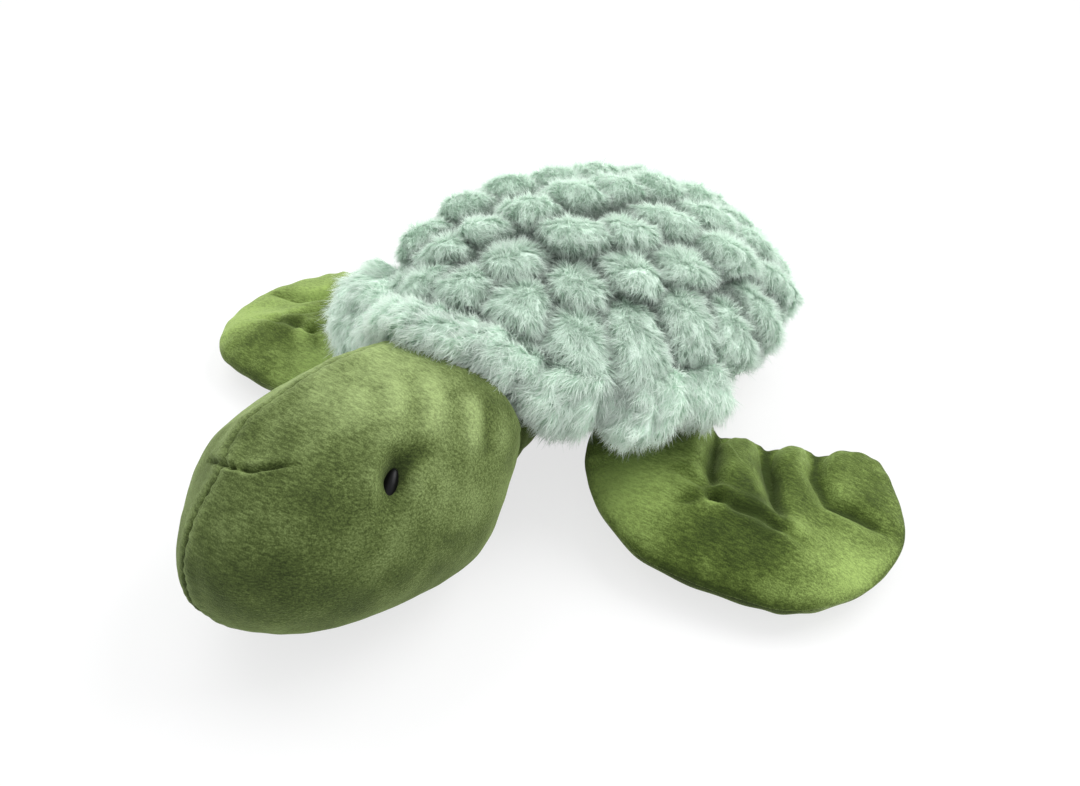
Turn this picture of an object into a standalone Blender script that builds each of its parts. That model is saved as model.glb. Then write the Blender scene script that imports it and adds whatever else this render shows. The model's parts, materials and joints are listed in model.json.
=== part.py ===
"""A stuffed sea turtle: fur shell, velboa head, four flippers and a tail on sewn joints.

The turtle faces -Y and stands on its belly, whose flat patch has the origin at its middle.
Its left side is +X. All sizes are in metres.
"""

import math

import bmesh
import bpy
from mathutils import Matrix, Vector

# Cloth and fit
CLOTH = 0.003
CLEARANCE = 0.0003
WELD = 0.00005
FLOOR_CUT = 0.0005
OVERRUN = 0.05
SHARP_ANGLE = math.radians(50)

# How finely the round forms are divided
COARSE, MEDIUM, FINE = 3, 4, 5

# Shell and body
SHELL_HALF_WIDTH = 0.145
SHELL_HALF_LENGTH = 0.180
SHELL_RISE = 0.0855
BODY_MID_HEIGHT = 0.0711
SHELL_SLOPE_SHARE = 0.129
FUR_DEPTH = 0.016
RIM_DROP = 0.012
BELLY_INSET = 0.010
TUFT_PITCH = 0.048
TUFT_ROW_PITCH = 0.038
TUFT_ROW_START = 0.013
TUFT_DEPTH = 0.010
TUFT_LENGTH_SHARE = 0.625
WRAP_WIDTH_SHARE = 0.276
WRAP_LENGTH_SHARE = 0.18

# Fur brim over the neck and the front flippers
BRIM_HALF_THICKNESS = 0.011
BRIM_TIP_SHARE = 0.45
BRIM_STEPS = 3
BRIM_SIDES = 10
BRIM_END_SHARE = 0.25

# Head and neck
HEAD_HALF_WIDTH = 0.0855
HEAD_HALF_LENGTH = 0.1155
HEAD_HALF_HEIGHT = 0.0690
HEAD_REACH = 0.0895
HEAD_YAW = math.radians(-6)
HEAD_ROLL = math.radians(-18)
HEAD_BLUNT_SHARE = 2.12
RIDGE_HEIGHT = 0.004
RIDGE_WIDTH = 0.016
SEAM_GAP = 0.0003
NECK_RADIUS = 0.047
NECK_SOCKET_SHARE = 1.005
NECK_FILLING_SHARE = 0.985
NECK_SET_BACK = 0.005
NECK_HEIGHT = 0.068
NECK_CREASE = 0.011
NECK_CREASE_TOP = 0.126
NECK_MOUTH_SHARE = 0.72
NECK_STEPS = 20
HEAD_SWING_ROOM = 0.0135

# Eyes: an oval head on a post, held by a washer behind the cloth
EYE_HALF_WIDTH = 0.0055
EYE_HALF_HEIGHT = 0.009
EYE_RISE = 0.0035
EYE_SINK = 0.0015
EYE_POST_RADIUS = 0.0025
EYE_POST_LENGTH = 0.012
WASHER_RADIUS = 0.008
WASHER_THICKNESS = 0.0016
WASHER_DEPTH = 0.0062
EYE_DIMPLE_DEPTH = 0.006
EYE_DIMPLE_RADIUS = 0.017
EYE_FORWARD_SHARE = 0.22
EYE_UP_SHARE = 0.41
TURNED_STEPS = 14

# Flippers
ROOT_RADIUS = 0.008
ROOT_PASSES = 30
SEAT_DEPTH = 0.003
SEAT_LID_SHARE = 0.62
PADDLE_POWER_SHARE = 2.4
FRONT_LENGTH = 0.190
FRONT_WIDTH = 0.194
FRONT_HALF_THICKNESS = 0.0225
FRONT_ROOT_HEIGHT = 0.028
FRONT_TIP_DROP = 0.008
FRONT_ROOT_ANGLE = math.radians(-32)
FRONT_TURN = math.radians(-4)
FRONT_RIGHT_SHARE = 0.93
GROOVE_DEPTH = 0.006
GROOVE_WIDTH = 0.008
REAR_LENGTH = 0.082
REAR_WIDTH = 0.062
REAR_HALF_THICKNESS = 0.0125
REAR_ROOT_HEIGHT = 0.019
REAR_TIP_DROP = 0.006
REAR_ROOT_ANGLE = math.radians(68)

# Tail
TAIL_LENGTH = 0.048
TAIL_WIDTH = 0.034
TAIL_HALF_THICKNESS = 0.009
TAIL_ROOT_HEIGHT = 0.025
TAIL_TIP_DROP = 0.006

# Brim edges as (x, y, z) shares of the shell's half width, half length and mid height:
# first the edge sewn to the shell, then the free edge, from the middle of the front backwards
SEWN_EDGE_SHARES = (
    (0.00, -0.875, 1.93), (0.20, -0.86, 1.90), (0.38, -0.83, 1.76), (0.52, -0.79, 1.60),
    (0.66, -0.70, 1.50), (0.78, -0.58, 1.40), (0.88, -0.42, 1.30), (0.95, -0.22, 1.20),
    (0.98, 0.00, 1.12),
)
FREE_EDGE_SHARES = (
    (0.00, -1.185, 2.02), (0.17, -1.15, 1.93), (0.31, -1.06, 1.62), (0.43, -0.94, 1.18),
    (0.60, -0.84, 0.98), (0.80, -0.75, 0.95), (0.97, -0.56, 0.93), (1.03, -0.32, 0.93),
    (1.00, 0.02, 0.95),
)

# Flipper outlines as shares of length and width, from the front end of the root round the tip
FRONT_OUTLINE_SHARES = (
    (-0.042, -0.20), (0.05, -0.275), (0.14, -0.335), (0.315, -0.385), (0.53, -0.385),
    (0.715, -0.32), (0.87, -0.205), (0.97, -0.11), (1.00, 0.03), (0.995, 0.20), (0.915, 0.375),
    (0.815, 0.485), (0.64, 0.58), (0.53, 0.61), (0.458, 0.565), (0.43, 0.48), (0.415, 0.437),
    (0.385, 0.43), (0.353, 0.405), (0.325, 0.335), (0.314, 0.295), (0.28, 0.29),
    (0.242, 0.263), (0.198, 0.212), (0.18, 0.185), (0.12, 0.192), (0.04, 0.195),
    (-0.042, 0.16), (-0.042, 0.04), (-0.042, -0.08),
)
FRONT_MIDDLE_SHARES = (0.50, 0.08)
FRONT_SEAT_SHARES = (-0.40, 0.32)
GROOVE_SHARES = (
    ((0.18, 0.185), (0.30, 0.06), (0.40, -0.01)),
    ((0.314, 0.295), (0.42, 0.18), (0.58, 0.10)),
    ((0.415, 0.437), (0.58, 0.33), (0.80, 0.25)),
)
REAR_OUTLINE_SHARES = (
    (-0.098, -0.30), (0.15, -0.42), (0.42, -0.50), (0.72, -0.46), (0.93, -0.28), (1.00, 0.00),
    (0.95, 0.26), (0.78, 0.44), (0.50, 0.50), (0.20, 0.42), (-0.098, 0.30), (-0.098, 0.00),
)
REAR_MIDDLE_SHARES = (0.50, 0.0)
REAR_SEAT_SHARES = (-0.60, 0.60)
TAIL_OUTLINE_SHARES = (
    (-0.167, -0.42), (0.15, -0.50), (0.45, -0.40), (0.75, -0.22), (0.96, -0.08), (1.00, 0.00),
    (0.96, 0.08), (0.75, 0.22), (0.45, 0.40), (0.15, 0.50), (-0.167, 0.42), (-0.167, 0.00),
)
TAIL_MIDDLE_SHARES = (0.30, 0.0)
TAIL_SEAT_SHARES = (-0.65, 0.65)

# Places that follow from the sizes
BELLY_HALF_WIDTH = SHELL_HALF_WIDTH - BELLY_INSET
BELLY_HALF_LENGTH = SHELL_HALF_LENGTH - BELLY_INSET
BELLY_DEPTH = BODY_MID_HEIGHT + FLOOR_CUT
NECK = Vector((0, NECK_SET_BACK - SHELL_HALF_LENGTH, NECK_HEIGHT))
HEAD_CENTRE = Vector((0, NECK.y - HEAD_REACH, HEAD_HALF_HEIGHT + CLEARANCE))
HEAD_FRAME = (
    Matrix.Translation(HEAD_CENTRE)
    @ Matrix.Rotation(HEAD_YAW, 4, "Z")
    @ Matrix.Rotation(HEAD_ROLL, 4, "Y")
)

for old in list(bpy.data.objects):
    bpy.data.objects.remove(old, do_unlink=True)

turtle = bpy.data.collections.new("plush_turtle")
cutters = bpy.data.collections.new("cutters")
for group in (turtle, cutters):
    bpy.context.scene.collection.children.link(group)


def make_material(name, colour, roughness):
    material = bpy.data.materials.new(name)
    material.use_nodes = True
    shader = material.node_tree.nodes["Principled BSDF"]
    shader.inputs["Base Color"].default_value = (*colour, 1)
    shader.inputs["Roughness"].default_value = roughness
    shader.inputs["Metallic"].default_value = 0
    material.diffuse_color = (*colour, 1)
    return material


velboa = make_material("olive_velboa", (0.122, 0.162, 0.063), 0.9)
velboa_under = make_material("olive_velboa_under", (0.105, 0.140, 0.055), 0.9)
fur = make_material("mint_fur", (0.371, 0.503, 0.402), 0.95)
fur_brim = make_material("mint_brim_fur", (0.533, 0.686, 0.578), 0.95)
stuffing = make_material("white_stuffing", (0.80, 0.80, 0.78), 1.0)
black_plastic = make_material("black_eye_plastic", (0.004, 0.004, 0.004), 0.2)
washer_plastic = make_material("clear_washer_plastic", (0.55, 0.56, 0.55), 0.5)


def make_joint(name, place):
    """An empty on a joint's axis, which carries the pieces that turn with it."""
    empty = bpy.data.objects.new(name, None)
    empty.location = place
    turtle.objects.link(empty)
    bpy.context.view_layer.update()
    return empty


def add_piece(name, mesh, material, joint=None):
    piece = bpy.data.objects.new(name, mesh)
    mesh.materials.append(material)
    mesh.shade_smooth()
    mesh.set_sharp_from_angle(angle=SHARP_ANGLE)
    turtle.objects.link(piece)
    if joint:
        piece.parent = joint
        piece.matrix_parent_inverse = joint.matrix_world.inverted()
    return piece


def add_cutter(name, mesh):
    cutter = bpy.data.objects.new(name, mesh)
    cutter.hide_render = True
    cutter.display_type = "WIRE"
    cutters.objects.link(cutter)
    return cutter


def cut(piece, *tools, operation="DIFFERENCE"):
    for tool in tools:
        modifier = piece.modifiers.new(tool.name, "BOOLEAN")
        modifier.operation = operation
        modifier.object = tool


def mesh_from(name, build):
    mesh = bpy.data.meshes.new(name)
    grid = bmesh.new()
    build(grid)
    grid.normal_update()
    bmesh.ops.recalc_face_normals(grid, faces=grid.faces)
    grid.to_mesh(mesh)
    grid.free()
    return mesh


def ball(name, level, place):
    """A closed round form: each point of a unit ball goes where place puts it."""

    def build(grid):
        bmesh.ops.create_icosphere(grid, subdivisions=level, radius=1)
        for vertex in grid.verts:
            vertex.co = place(vertex.co.copy())

    return mesh_from(name, build)


def box(name, low, high, frame=None, slope_shares=(0, 0)):
    """A box from low to high in its frame, its floor and lid rising along X and Y by the slopes."""
    low, high = Vector(low), Vector(high)

    def build(grid):
        bmesh.ops.create_cube(grid, size=1)
        for vertex in grid.verts:
            middle, size = (low + high) / 2, high - low
            vertex.co = middle + Vector(a * b for a, b in zip(vertex.co, size))
            vertex.co.z += vertex.co.xy.dot(Vector(slope_shares))
            if frame:
                vertex.co = frame @ vertex.co

    return mesh_from(name, build)


def smooth(value):
    value = min(max(value, 0), 1)
    return value * value * (3 - 2 * value)


def lean(y, unit_z):
    """How far the shell's tilt lowers a point: all of it on the dome, none at the belly's foot."""
    return SHELL_SLOPE_SHARE * y * (1 - smooth(-unit_z))


def body_place(half_width, half_length, rise, depth):
    def place(unit):
        y = half_length * unit.y
        z = (rise if unit.z > 0 else depth) * unit.z
        return Vector((half_width * unit.x, y, BODY_MID_HEIGHT + z - lean(y, unit.z)))

    return place


def tuft_height(across, along):
    """From 0 in the crease between sewn tufts to 1 on top of one; rows are set like bricks."""
    best = 0
    along -= TUFT_ROW_START
    middle_row = round(along / TUFT_ROW_PITCH)
    for row in (middle_row - 1, middle_row, middle_row + 1):
        shift = TUFT_PITCH / 2 * ((row + 1) % 2)
        column = round((across - shift) / TUFT_PITCH)
        far = math.hypot(
            (across - shift - column * TUFT_PITCH) / (TUFT_PITCH / 2),
            (along - row * TUFT_ROW_PITCH) / (TUFT_ROW_PITCH * TUFT_LENGTH_SHARE),
        )
        best = max(best, 1 - min(far, 1) ** 2)
    return math.sqrt(best)


def tufted_place(unit):
    across = SHELL_HALF_WIDTH * unit.x * (1 + WRAP_WIDTH_SHARE * unit.x**4)
    along = SHELL_HALF_LENGTH * unit.y * (1 + WRAP_LENGTH_SHARE * unit.y**4)
    sunk = TUFT_DEPTH * (1 - tuft_height(across, along)) * smooth(1 + unit.z)
    place = body_place(
        SHELL_HALF_WIDTH - sunk, SHELL_HALF_LENGTH - sunk, SHELL_RISE - sunk, SHELL_RISE
    )
    return place(unit)


def head_point(unit, grow):
    """A point of the head in its own frame: nose at -Y, seam plane at X = 0."""
    radius = math.hypot(unit.x, unit.z)
    power = HEAD_BLUNT_SHARE
    wide = (1 - min(abs(unit.y), 1) ** power) ** (1 / power) / radius if radius else 1
    point = Vector((
        (HEAD_HALF_WIDTH + grow) * unit.x * wide,
        (HEAD_HALF_LENGTH + grow) * unit.y,
        (HEAD_HALF_HEIGHT + grow) * unit.z * wide,
    ))
    point.z += RIDGE_HEIGHT * math.exp(-((point.x / RIDGE_WIDTH) ** 2)) * max(unit.z, 0)
    for side in (-1, 1):
        eye = eye_point(side)
        sunk = EYE_DIMPLE_DEPTH * math.exp(-(((point - eye).length / EYE_DIMPLE_RADIUS) ** 2))
        point -= eye_normal(side) * sunk
    return point


def eye_point(side):
    """Where an eye's middle lies on the undimpled head, in the head's frame."""
    forward, up = EYE_FORWARD_SHARE, EYE_UP_SHARE
    out = math.sqrt(1 - forward**2 - up**2)
    return Vector((
        side * HEAD_HALF_WIDTH * out, -HEAD_HALF_LENGTH * forward, HEAD_HALF_HEIGHT * up
    ))


def eye_normal(side):
    point = eye_point(side)
    return Vector((
        point.x / HEAD_HALF_WIDTH**2, point.y / HEAD_HALF_LENGTH**2, point.z / HEAD_HALF_HEIGHT**2
    )).normalized()


def head_place(grow, floor):
    def place(unit):
        point = HEAD_FRAME @ head_point(unit, grow)
        point.z = max(point.z, floor)
        return point

    return place


def curve_through(points, steps, closed):
    """Points of a smooth curve through the given ones, with so many steps between each pair."""
    count = len(points)
    out = []
    for index in range(count if closed else count - 1):
        if closed:
            near = [points[(index + k) % count] for k in (-1, 0, 1, 2)]
        else:
            near = [points[min(max(index + k, 0), count - 1)] for k in (-1, 0, 1, 2)]
        a, b, c, d = (Vector(p) for p in near)
        for step in range(steps):
            t = step / steps
            out.append(
                (b * 2 + (c - a) * t + (a * 2 - b * 5 + c * 4 - d) * t * t
                 + (b * 3 - a - c * 3 + d) * t**3) / 2
            )
    if not closed:
        out.append(Vector(points[-1]))
    return out


def distance_to(path, point):
    """The least distance in plan from a point to a path of straight runs."""
    best = math.inf
    for a, b in zip(path, path[1:]):
        run = b - a
        t = min(max((point - a).dot(run) / run.length_squared, 0), 1)
        best = min(best, (point - a - run * t).length)
    return best


class Paddle:
    """A stuffed flipper or tail in its own frame: root seam along Y at X = 0, tip at +X."""

    def __init__(self, name, frame, size, shares, middle_shares, steps, rings,
                 groove_shares=()):
        self.name, self.frame, self.rings = name, frame, rings
        self.length, self.width, self.half_thickness, self.tip_drop = size
        scale = Vector((self.length, self.width))
        rim = curve_through([scale * Vector(p) for p in shares], steps, closed=True)
        self.rim = [Vector((max(p.x, -ROOT_RADIUS), p.y)) for p in rim]
        self.middle = scale * Vector(middle_shares)
        self.grooves = [[scale * Vector(p) for p in path] for path in groove_shares]

    def point(self, spoke, ring, side, inset, play):
        """A point on a spoke from the middle to the rim; ring runs from 0 there to rings."""
        rim = self.rim[spoke % len(self.rim)]
        reach = (rim - self.middle).length
        share = math.sin(math.pi / 2 * ring / self.rings)
        pull = inset + (play if ring == self.rings else 0)
        flat = self.middle + (rim - self.middle) * share * (reach - pull) / reach
        deep = sum(
            math.exp(-((distance_to(path, flat) / GROOVE_WIDTH) ** 2)) for path in self.grooves
        )
        rise = (self.half_thickness - inset) * math.sqrt(max(1 - share**PADDLE_POWER_SHARE, 0))
        rise = max(rise - min(GROOVE_DEPTH * deep, rise / 2) - play, 0)
        z = -self.tip_drop * max(flat.x, 0) / self.length + side * rise
        point = self.frame @ Vector((flat.x, flat.y, z))
        point.z = max(point.z, inset + play)
        return point

    def add_skin(self, grid, side, inset, play, lift):
        """Rings of faces round the middle: the upper or lower surface, or the flat one between."""
        up = Vector((0, 0, lift))
        count = len(self.rim)
        centre = grid.verts.new(self.point(0, 0, side, inset, play) + up)
        inner = None
        for ring in range(1, self.rings + 1):
            outer = [
                grid.verts.new(self.point(k, ring, side, inset, play) + up) for k in range(count)
            ]
            for k in range(count):
                after = (k + 1) % count
                grid.faces.new((inner[k] if inner else centre, outer[after], outer[k]))
                if inner:
                    grid.faces.new((inner[k], inner[after], outer[after]))
            inner = outer

    def form(self, name, sides, inset=0, play=0, lift=0):
        """A closed form between two of the paddle's surfaces, which meet along the rim."""

        def build(grid):
            for side in sides:
                self.add_skin(grid, side, inset, play, lift)
            bmesh.ops.remove_doubles(grid, verts=grid.verts, dist=WELD)

        return mesh_from(name, build)

    def add_pieces(self, joint):
        """The two cloth panels that are sewn together along the rim, and the filling inside."""
        core = add_cutter(f"{self.name}_core_space", self.form(
            f"{self.name}_core_space", (-1, 1), CLOTH
        ))
        for label, side, material in (("top", 1, velboa), ("bottom", -1, velboa_under)):
            name = f"{self.name}_{label}_panel"
            mesh = self.form(name, (side, 0), lift=side * CLEARANCE / 2)
            cut(add_piece(name, mesh, material, joint), core)
        name = f"{self.name}_stuffing"
        add_piece(name, self.form(name, (-1, 1), CLOTH, CLEARANCE), stuffing, joint)


def root_frame(angle, height, turn=0):
    """The frame of a limb's root seam: on the belly's side at this angle, X pointing outwards."""
    along, across = math.sin(angle), math.cos(angle)
    unit_z = 0
    for _ in range(ROOT_PASSES):
        spread = math.sqrt(1 - unit_z**2)
        fall = lean(BELLY_HALF_LENGTH * spread * along, unit_z)
        unit_z = (height - BODY_MID_HEIGHT + fall) / BELLY_DEPTH
    place = Vector((
        BELLY_HALF_WIDTH * spread * across, BELLY_HALF_LENGTH * spread * along, height
    ))
    out = Vector((across / BELLY_HALF_WIDTH, along / BELLY_HALF_LENGTH, 0)).normalized()
    place += out * (ROOT_RADIUS + CLEARANCE - SEAT_DEPTH)
    return Matrix.Translation(place) @ Matrix.Rotation(math.atan2(out.y, out.x) + turn, 4, "Z")


def mirrored(frame):
    return Matrix.Scale(-1, 4, (1, 0, 0)) @ frame


def seat_cutter(name, frame, front, rear):
    """The space before a limb's root, which the belly leaves free; front and rear bound it."""
    room = ROOT_RADIUS + CLEARANCE
    lid = room * (1 + SEAT_LID_SHARE)
    return add_cutter(name, box(
        name, (-room, front, -OVERRUN), (OVERRUN, rear, lid), frame, (SEAT_LID_SHARE, 0)
    ))


# Cutters that shape the body
rim_height = BODY_MID_HEIGHT - RIM_DROP
wide, long = SHELL_HALF_WIDTH + OVERRUN, SHELL_HALF_LENGTH + OVERRUN
tilt = (0, -SHELL_SLOPE_SHARE)
below_rim = add_cutter("below_rim", box(
    "below_rim", (-wide, -long, -wide), (wide, long, rim_height), slope_shares=tilt
))
above_rim = add_cutter("above_rim", box(
    "above_rim", (-wide, -long, rim_height - CLEARANCE), (wide, long, wide + rim_height),
    slope_shares=tilt,
))
under_floor = add_cutter("under_floor", box(
    "under_floor", (-wide, -long - HEAD_REACH * 2, -wide), (wide, long, 0)
))
core_depth = BODY_MID_HEIGHT - CLOTH
core_cut = add_cutter("core_space", ball("core_space", COARSE, body_place(
    SHELL_HALF_WIDTH - FUR_DEPTH, SHELL_HALF_LENGTH - FUR_DEPTH, SHELL_RISE - FUR_DEPTH, core_depth
)))
neck_cut = add_cutter("neck_socket", ball("neck_socket", MEDIUM, lambda unit: (
    NECK + unit * (NECK_RADIUS * NECK_SOCKET_SHARE + CLEARANCE)
)))
body_front = NECK.y + NECK_CREASE
head_rear = NECK.y - NECK_CREASE
crease_cut = add_cutter("neck_crease", box(
    "neck_crease", (-HEAD_HALF_WIDTH, body_front - OVERRUN, -OVERRUN),
    (HEAD_HALF_WIDTH, body_front, NECK_CREASE_TOP),
))
head_room = add_cutter("head_swing_space", ball("head_swing_space", COARSE, lambda unit: (
    Matrix.Rotation(HEAD_YAW, 4, "Z").to_3x3() @ Vector((
        (HEAD_HALF_WIDTH + HEAD_SWING_ROOM) * unit.x,
        (HEAD_HALF_LENGTH + HEAD_SWING_ROOM) * unit.y,
        (HEAD_HALF_HEIGHT + HEAD_SWING_ROOM) * unit.z,
    )) + HEAD_CENTRE
)))
dome_cut = add_cutter("dome_space", ball("dome_space", FINE, body_place(
    SHELL_HALF_WIDTH + CLEARANCE, SHELL_HALF_LENGTH + CLEARANCE, SHELL_RISE + CLEARANCE, SHELL_RISE
)))

# Limb frames and the seats that they need in the belly
front_left_frame = root_frame(FRONT_ROOT_ANGLE, FRONT_ROOT_HEIGHT, FRONT_TURN)
rear_left_frame = root_frame(REAR_ROOT_ANGLE, REAR_ROOT_HEIGHT)
tail_frame = root_frame(math.radians(90), TAIL_ROOT_HEIGHT)
limb_frames = {
    "front_flipper_left": front_left_frame,
    "front_flipper_right": mirrored(front_left_frame),
    "rear_flipper_left": rear_left_frame,
    "rear_flipper_right": mirrored(rear_left_frame),
    "tail": tail_frame,
}
seat_spans = {
    "front": (FRONT_WIDTH * FRONT_SEAT_SHARES[0], FRONT_WIDTH * FRONT_SEAT_SHARES[1]),
    "rear": (REAR_WIDTH * REAR_SEAT_SHARES[0], REAR_WIDTH * REAR_SEAT_SHARES[1]),
    "tail": (TAIL_WIDTH * TAIL_SEAT_SHARES[0], TAIL_WIDTH * TAIL_SEAT_SHARES[1]),
}
seats = [
    seat_cutter(f"{limb}_seat", limb_frame, *seat_spans[limb.split("_")[0]])
    for limb, limb_frame in limb_frames.items()
]

# Body: fur cover, belly panel and the stuffing inside them
shell_cover = add_piece("shell_cover", ball("shell_cover", FINE, tufted_place), fur)
cut(shell_cover, below_rim, core_cut, crease_cut, neck_cut)

belly_panel = add_piece("belly_panel", ball("belly_panel", MEDIUM, body_place(
    BELLY_HALF_WIDTH, BELLY_HALF_LENGTH, SHELL_RISE, BELLY_DEPTH
)), velboa_under)
cut(belly_panel, above_rim, core_cut, under_floor, crease_cut, neck_cut, *seats)

body_stuffing = add_piece("body_stuffing", ball("body_stuffing", COARSE, body_place(
    SHELL_HALF_WIDTH - FUR_DEPTH - CLEARANCE, SHELL_HALF_LENGTH - FUR_DEPTH - CLEARANCE,
    SHELL_RISE - FUR_DEPTH - CLEARANCE, core_depth - CLEARANCE,
)), stuffing)
cut(body_stuffing, crease_cut, neck_cut, *seats)


def brim_edges(shares):
    """One edge of the brim from its right end round the front to its left end."""
    size = (SHELL_HALF_WIDTH, SHELL_HALF_LENGTH, BODY_MID_HEIGHT)
    left = [Vector(a * b for a, b in zip(share, size)) for share in shares]
    right = [Vector((-p.x, p.y, p.z)) for p in left[:0:-1]]
    return curve_through(right + left, BRIM_STEPS, closed=False)


def build_brim(grid):
    """A band of rounded sections from the sewn edge to the free edge, tapered at both ends."""
    sewn, free = brim_edges(SEWN_EDGE_SHARES), brim_edges(FREE_EDGE_SHARES)
    inside = Vector((0, 0, BODY_MID_HEIGHT))
    last = len(sewn) - 1
    rings = []
    for index, (near, far) in enumerate(zip(sewn, free)):
        run = sewn[min(index + 1, last)] - sewn[max(index - 1, 0)]
        across = far - near
        out = run.cross(across).normalized()
        if out.dot((near + far) / 2 - inside) < 0:
            out.negate()
        end_share = smooth(min(index, last - index) / BRIM_STEPS + BRIM_END_SHARE)
        half = BRIM_HALF_THICKNESS * end_share
        middle = (near + far) / 2 + out * half * BRIM_TIP_SHARE
        ring = []
        for side in range(BRIM_SIDES):
            turn = math.tau * side / BRIM_SIDES
            ring.append(grid.verts.new(
                middle + across / 2 * math.cos(turn) + out * half * math.sin(turn)
            ))
        rings.append(ring)
    for here, there in zip(rings, rings[1:]):
        for side in range(BRIM_SIDES):
            after = (side + 1) % BRIM_SIDES
            grid.faces.new((here[side], here[after], there[after]))
            grid.faces.new((here[side], there[after], there[side]))
    grid.faces.new(rings[0])
    grid.faces.new(rings[-1])


shell_brim = add_piece("shell_brim", mesh_from("shell_brim", build_brim), fur_brim)
cut(shell_brim, dome_cut, head_room)

# Neck: a stuffed ball that turns in the body's front and carries the head
neck_joint = make_joint("neck_joint", NECK)


def build_neck_cover(grid):
    turn = Matrix.Rotation(math.radians(90), 4, "X")
    bmesh.ops.create_uvsphere(
        grid, u_segments=NECK_STEPS, v_segments=NECK_STEPS // 2, radius=NECK_RADIUS, matrix=turn
    )
    mouth = NECK_RADIUS * NECK_MOUTH_SHARE
    ends = [v for v in grid.verts if abs(v.co.y) > mouth]
    bmesh.ops.delete(grid, geom=ends, context="VERTS")
    bmesh.ops.translate(grid, verts=grid.verts, vec=NECK)


def outward(mesh, middle):
    """Turns an open surface's faces away from a point."""
    if sum((face.center - middle).dot(face.normal) for face in mesh.polygons) < 0:
        mesh.flip_normals()
    return mesh


neck_cover = add_piece(
    "neck_cover", outward(mesh_from("neck_cover", build_neck_cover), NECK), velboa, neck_joint
)
neck_wall = neck_cover.modifiers.new("cloth", "SOLIDIFY")
neck_wall.thickness = CLOTH
neck_wall.offset = -1
neck_stuffing = add_piece("neck_stuffing", ball("neck_stuffing", COARSE, lambda unit: (
    NECK + unit * (NECK_RADIUS * NECK_FILLING_SHARE - CLOTH - CLEARANCE)
)), stuffing, neck_joint)

# Head: two cloth halves sewn down the middle, the stuffing, and the eyes
head_joint = make_joint("head_joint", NECK)
head_core = add_cutter("head_core_space", ball("head_core_space", COARSE, head_place(-CLOTH, CLOTH)))
rear_cut = add_cutter("head_rear", box(
    "head_rear", (-HEAD_HALF_WIDTH - OVERRUN, head_rear, -OVERRUN),
    (HEAD_HALF_WIDTH + OVERRUN, head_rear + HEAD_HALF_LENGTH, HEAD_HALF_HEIGHT * 2 + OVERRUN),
))


def eye_frame(side):
    """An eye's frame: origin on the dimpled cloth, Z outwards, Y up the eye's long way."""
    out = eye_normal(side)
    place = eye_point(side) - out * EYE_DIMPLE_DEPTH
    up = (Vector((0, 0, 1)) - out * out.z).normalized()
    turn = Matrix((up.cross(out), up, out)).transposed().to_4x4()
    return HEAD_FRAME @ Matrix.Translation(place) @ turn


def eye_mesh(name, side, grow):
    """The oval head of an eye and its post, turned round Z and then squeezed to an oval."""

    def build(grid):
        bmesh.ops.create_uvsphere(grid, u_segments=TURNED_STEPS, v_segments=8, radius=1)
        for vertex in grid.verts:
            rise = EYE_RISE if vertex.co.z > 0 else EYE_SINK
            vertex.co.x *= EYE_HALF_WIDTH + grow
            vertex.co.y *= EYE_HALF_HEIGHT + grow
            vertex.co.z *= rise + grow
            vertex.co = eye_frame(side) @ vertex.co

    return mesh_from(name, build)


def turned(name, side, profile):
    """A solid turned about an eye's axis from (radius, height) points, closed on the axis."""

    def build(grid):
        points = [grid.verts.new((radius, 0, height)) for radius, height in profile]
        edges = [grid.edges.new(pair) for pair in zip(points, points[1:])]
        bmesh.ops.spin(
            grid, geom=points + edges, axis=(0, 0, 1), cent=(0, 0, 0), steps=TURNED_STEPS,
            angle=math.tau,
        )
        bmesh.ops.remove_doubles(grid, verts=grid.verts, dist=WELD)
        grid.transform(eye_frame(side))

    return mesh_from(name, build)


def rod(radius, low, high):
    return (0, high), (radius, high), (radius, low), (0, low)


eye_tools = []
for side, label in ((1, "left"), (-1, "right")):
    washer_low = -WASHER_DEPTH - WASHER_THICKNESS
    hole = EYE_POST_RADIUS + CLEARANCE
    post = add_cutter(f"eye_{label}_post", turned(
        f"eye_{label}_post", side, rod(EYE_POST_RADIUS, -EYE_POST_LENGTH, EYE_RISE / 2)
    ))
    post_hole = add_cutter(f"eye_{label}_post_hole", turned(
        f"eye_{label}_post_hole", side, rod(hole, -EYE_POST_LENGTH - CLEARANCE, EYE_RISE)
    ))
    eye_room = add_cutter(f"eye_{label}_room", turned(f"eye_{label}_room", side, (
        (0, EYE_RISE), (hole, EYE_RISE), (hole, CLEARANCE - WASHER_DEPTH),
        (WASHER_RADIUS + CLEARANCE, CLEARANCE - WASHER_DEPTH),
        (WASHER_RADIUS + CLEARANCE, washer_low - CLEARANCE), (hole, washer_low - CLEARANCE),
        (hole, -EYE_POST_LENGTH - CLEARANCE), (0, -EYE_POST_LENGTH - CLEARANCE),
    )))
    eye_seat = add_cutter(f"eye_{label}_seat", eye_mesh(f"eye_{label}_seat", side, CLEARANCE))
    eye = add_piece(f"eye_{label}", eye_mesh(f"eye_{label}", side, 0), black_plastic, head_joint)
    cut(eye, post, operation="UNION")
    washer = add_piece(f"eye_washer_{label}", turned(
        f"eye_washer_{label}", side, rod(WASHER_RADIUS, washer_low, -WASHER_DEPTH)
    ), washer_plastic, head_joint)
    cut(washer, post_hole)
    eye_tools += [eye_room, eye_seat]

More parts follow.
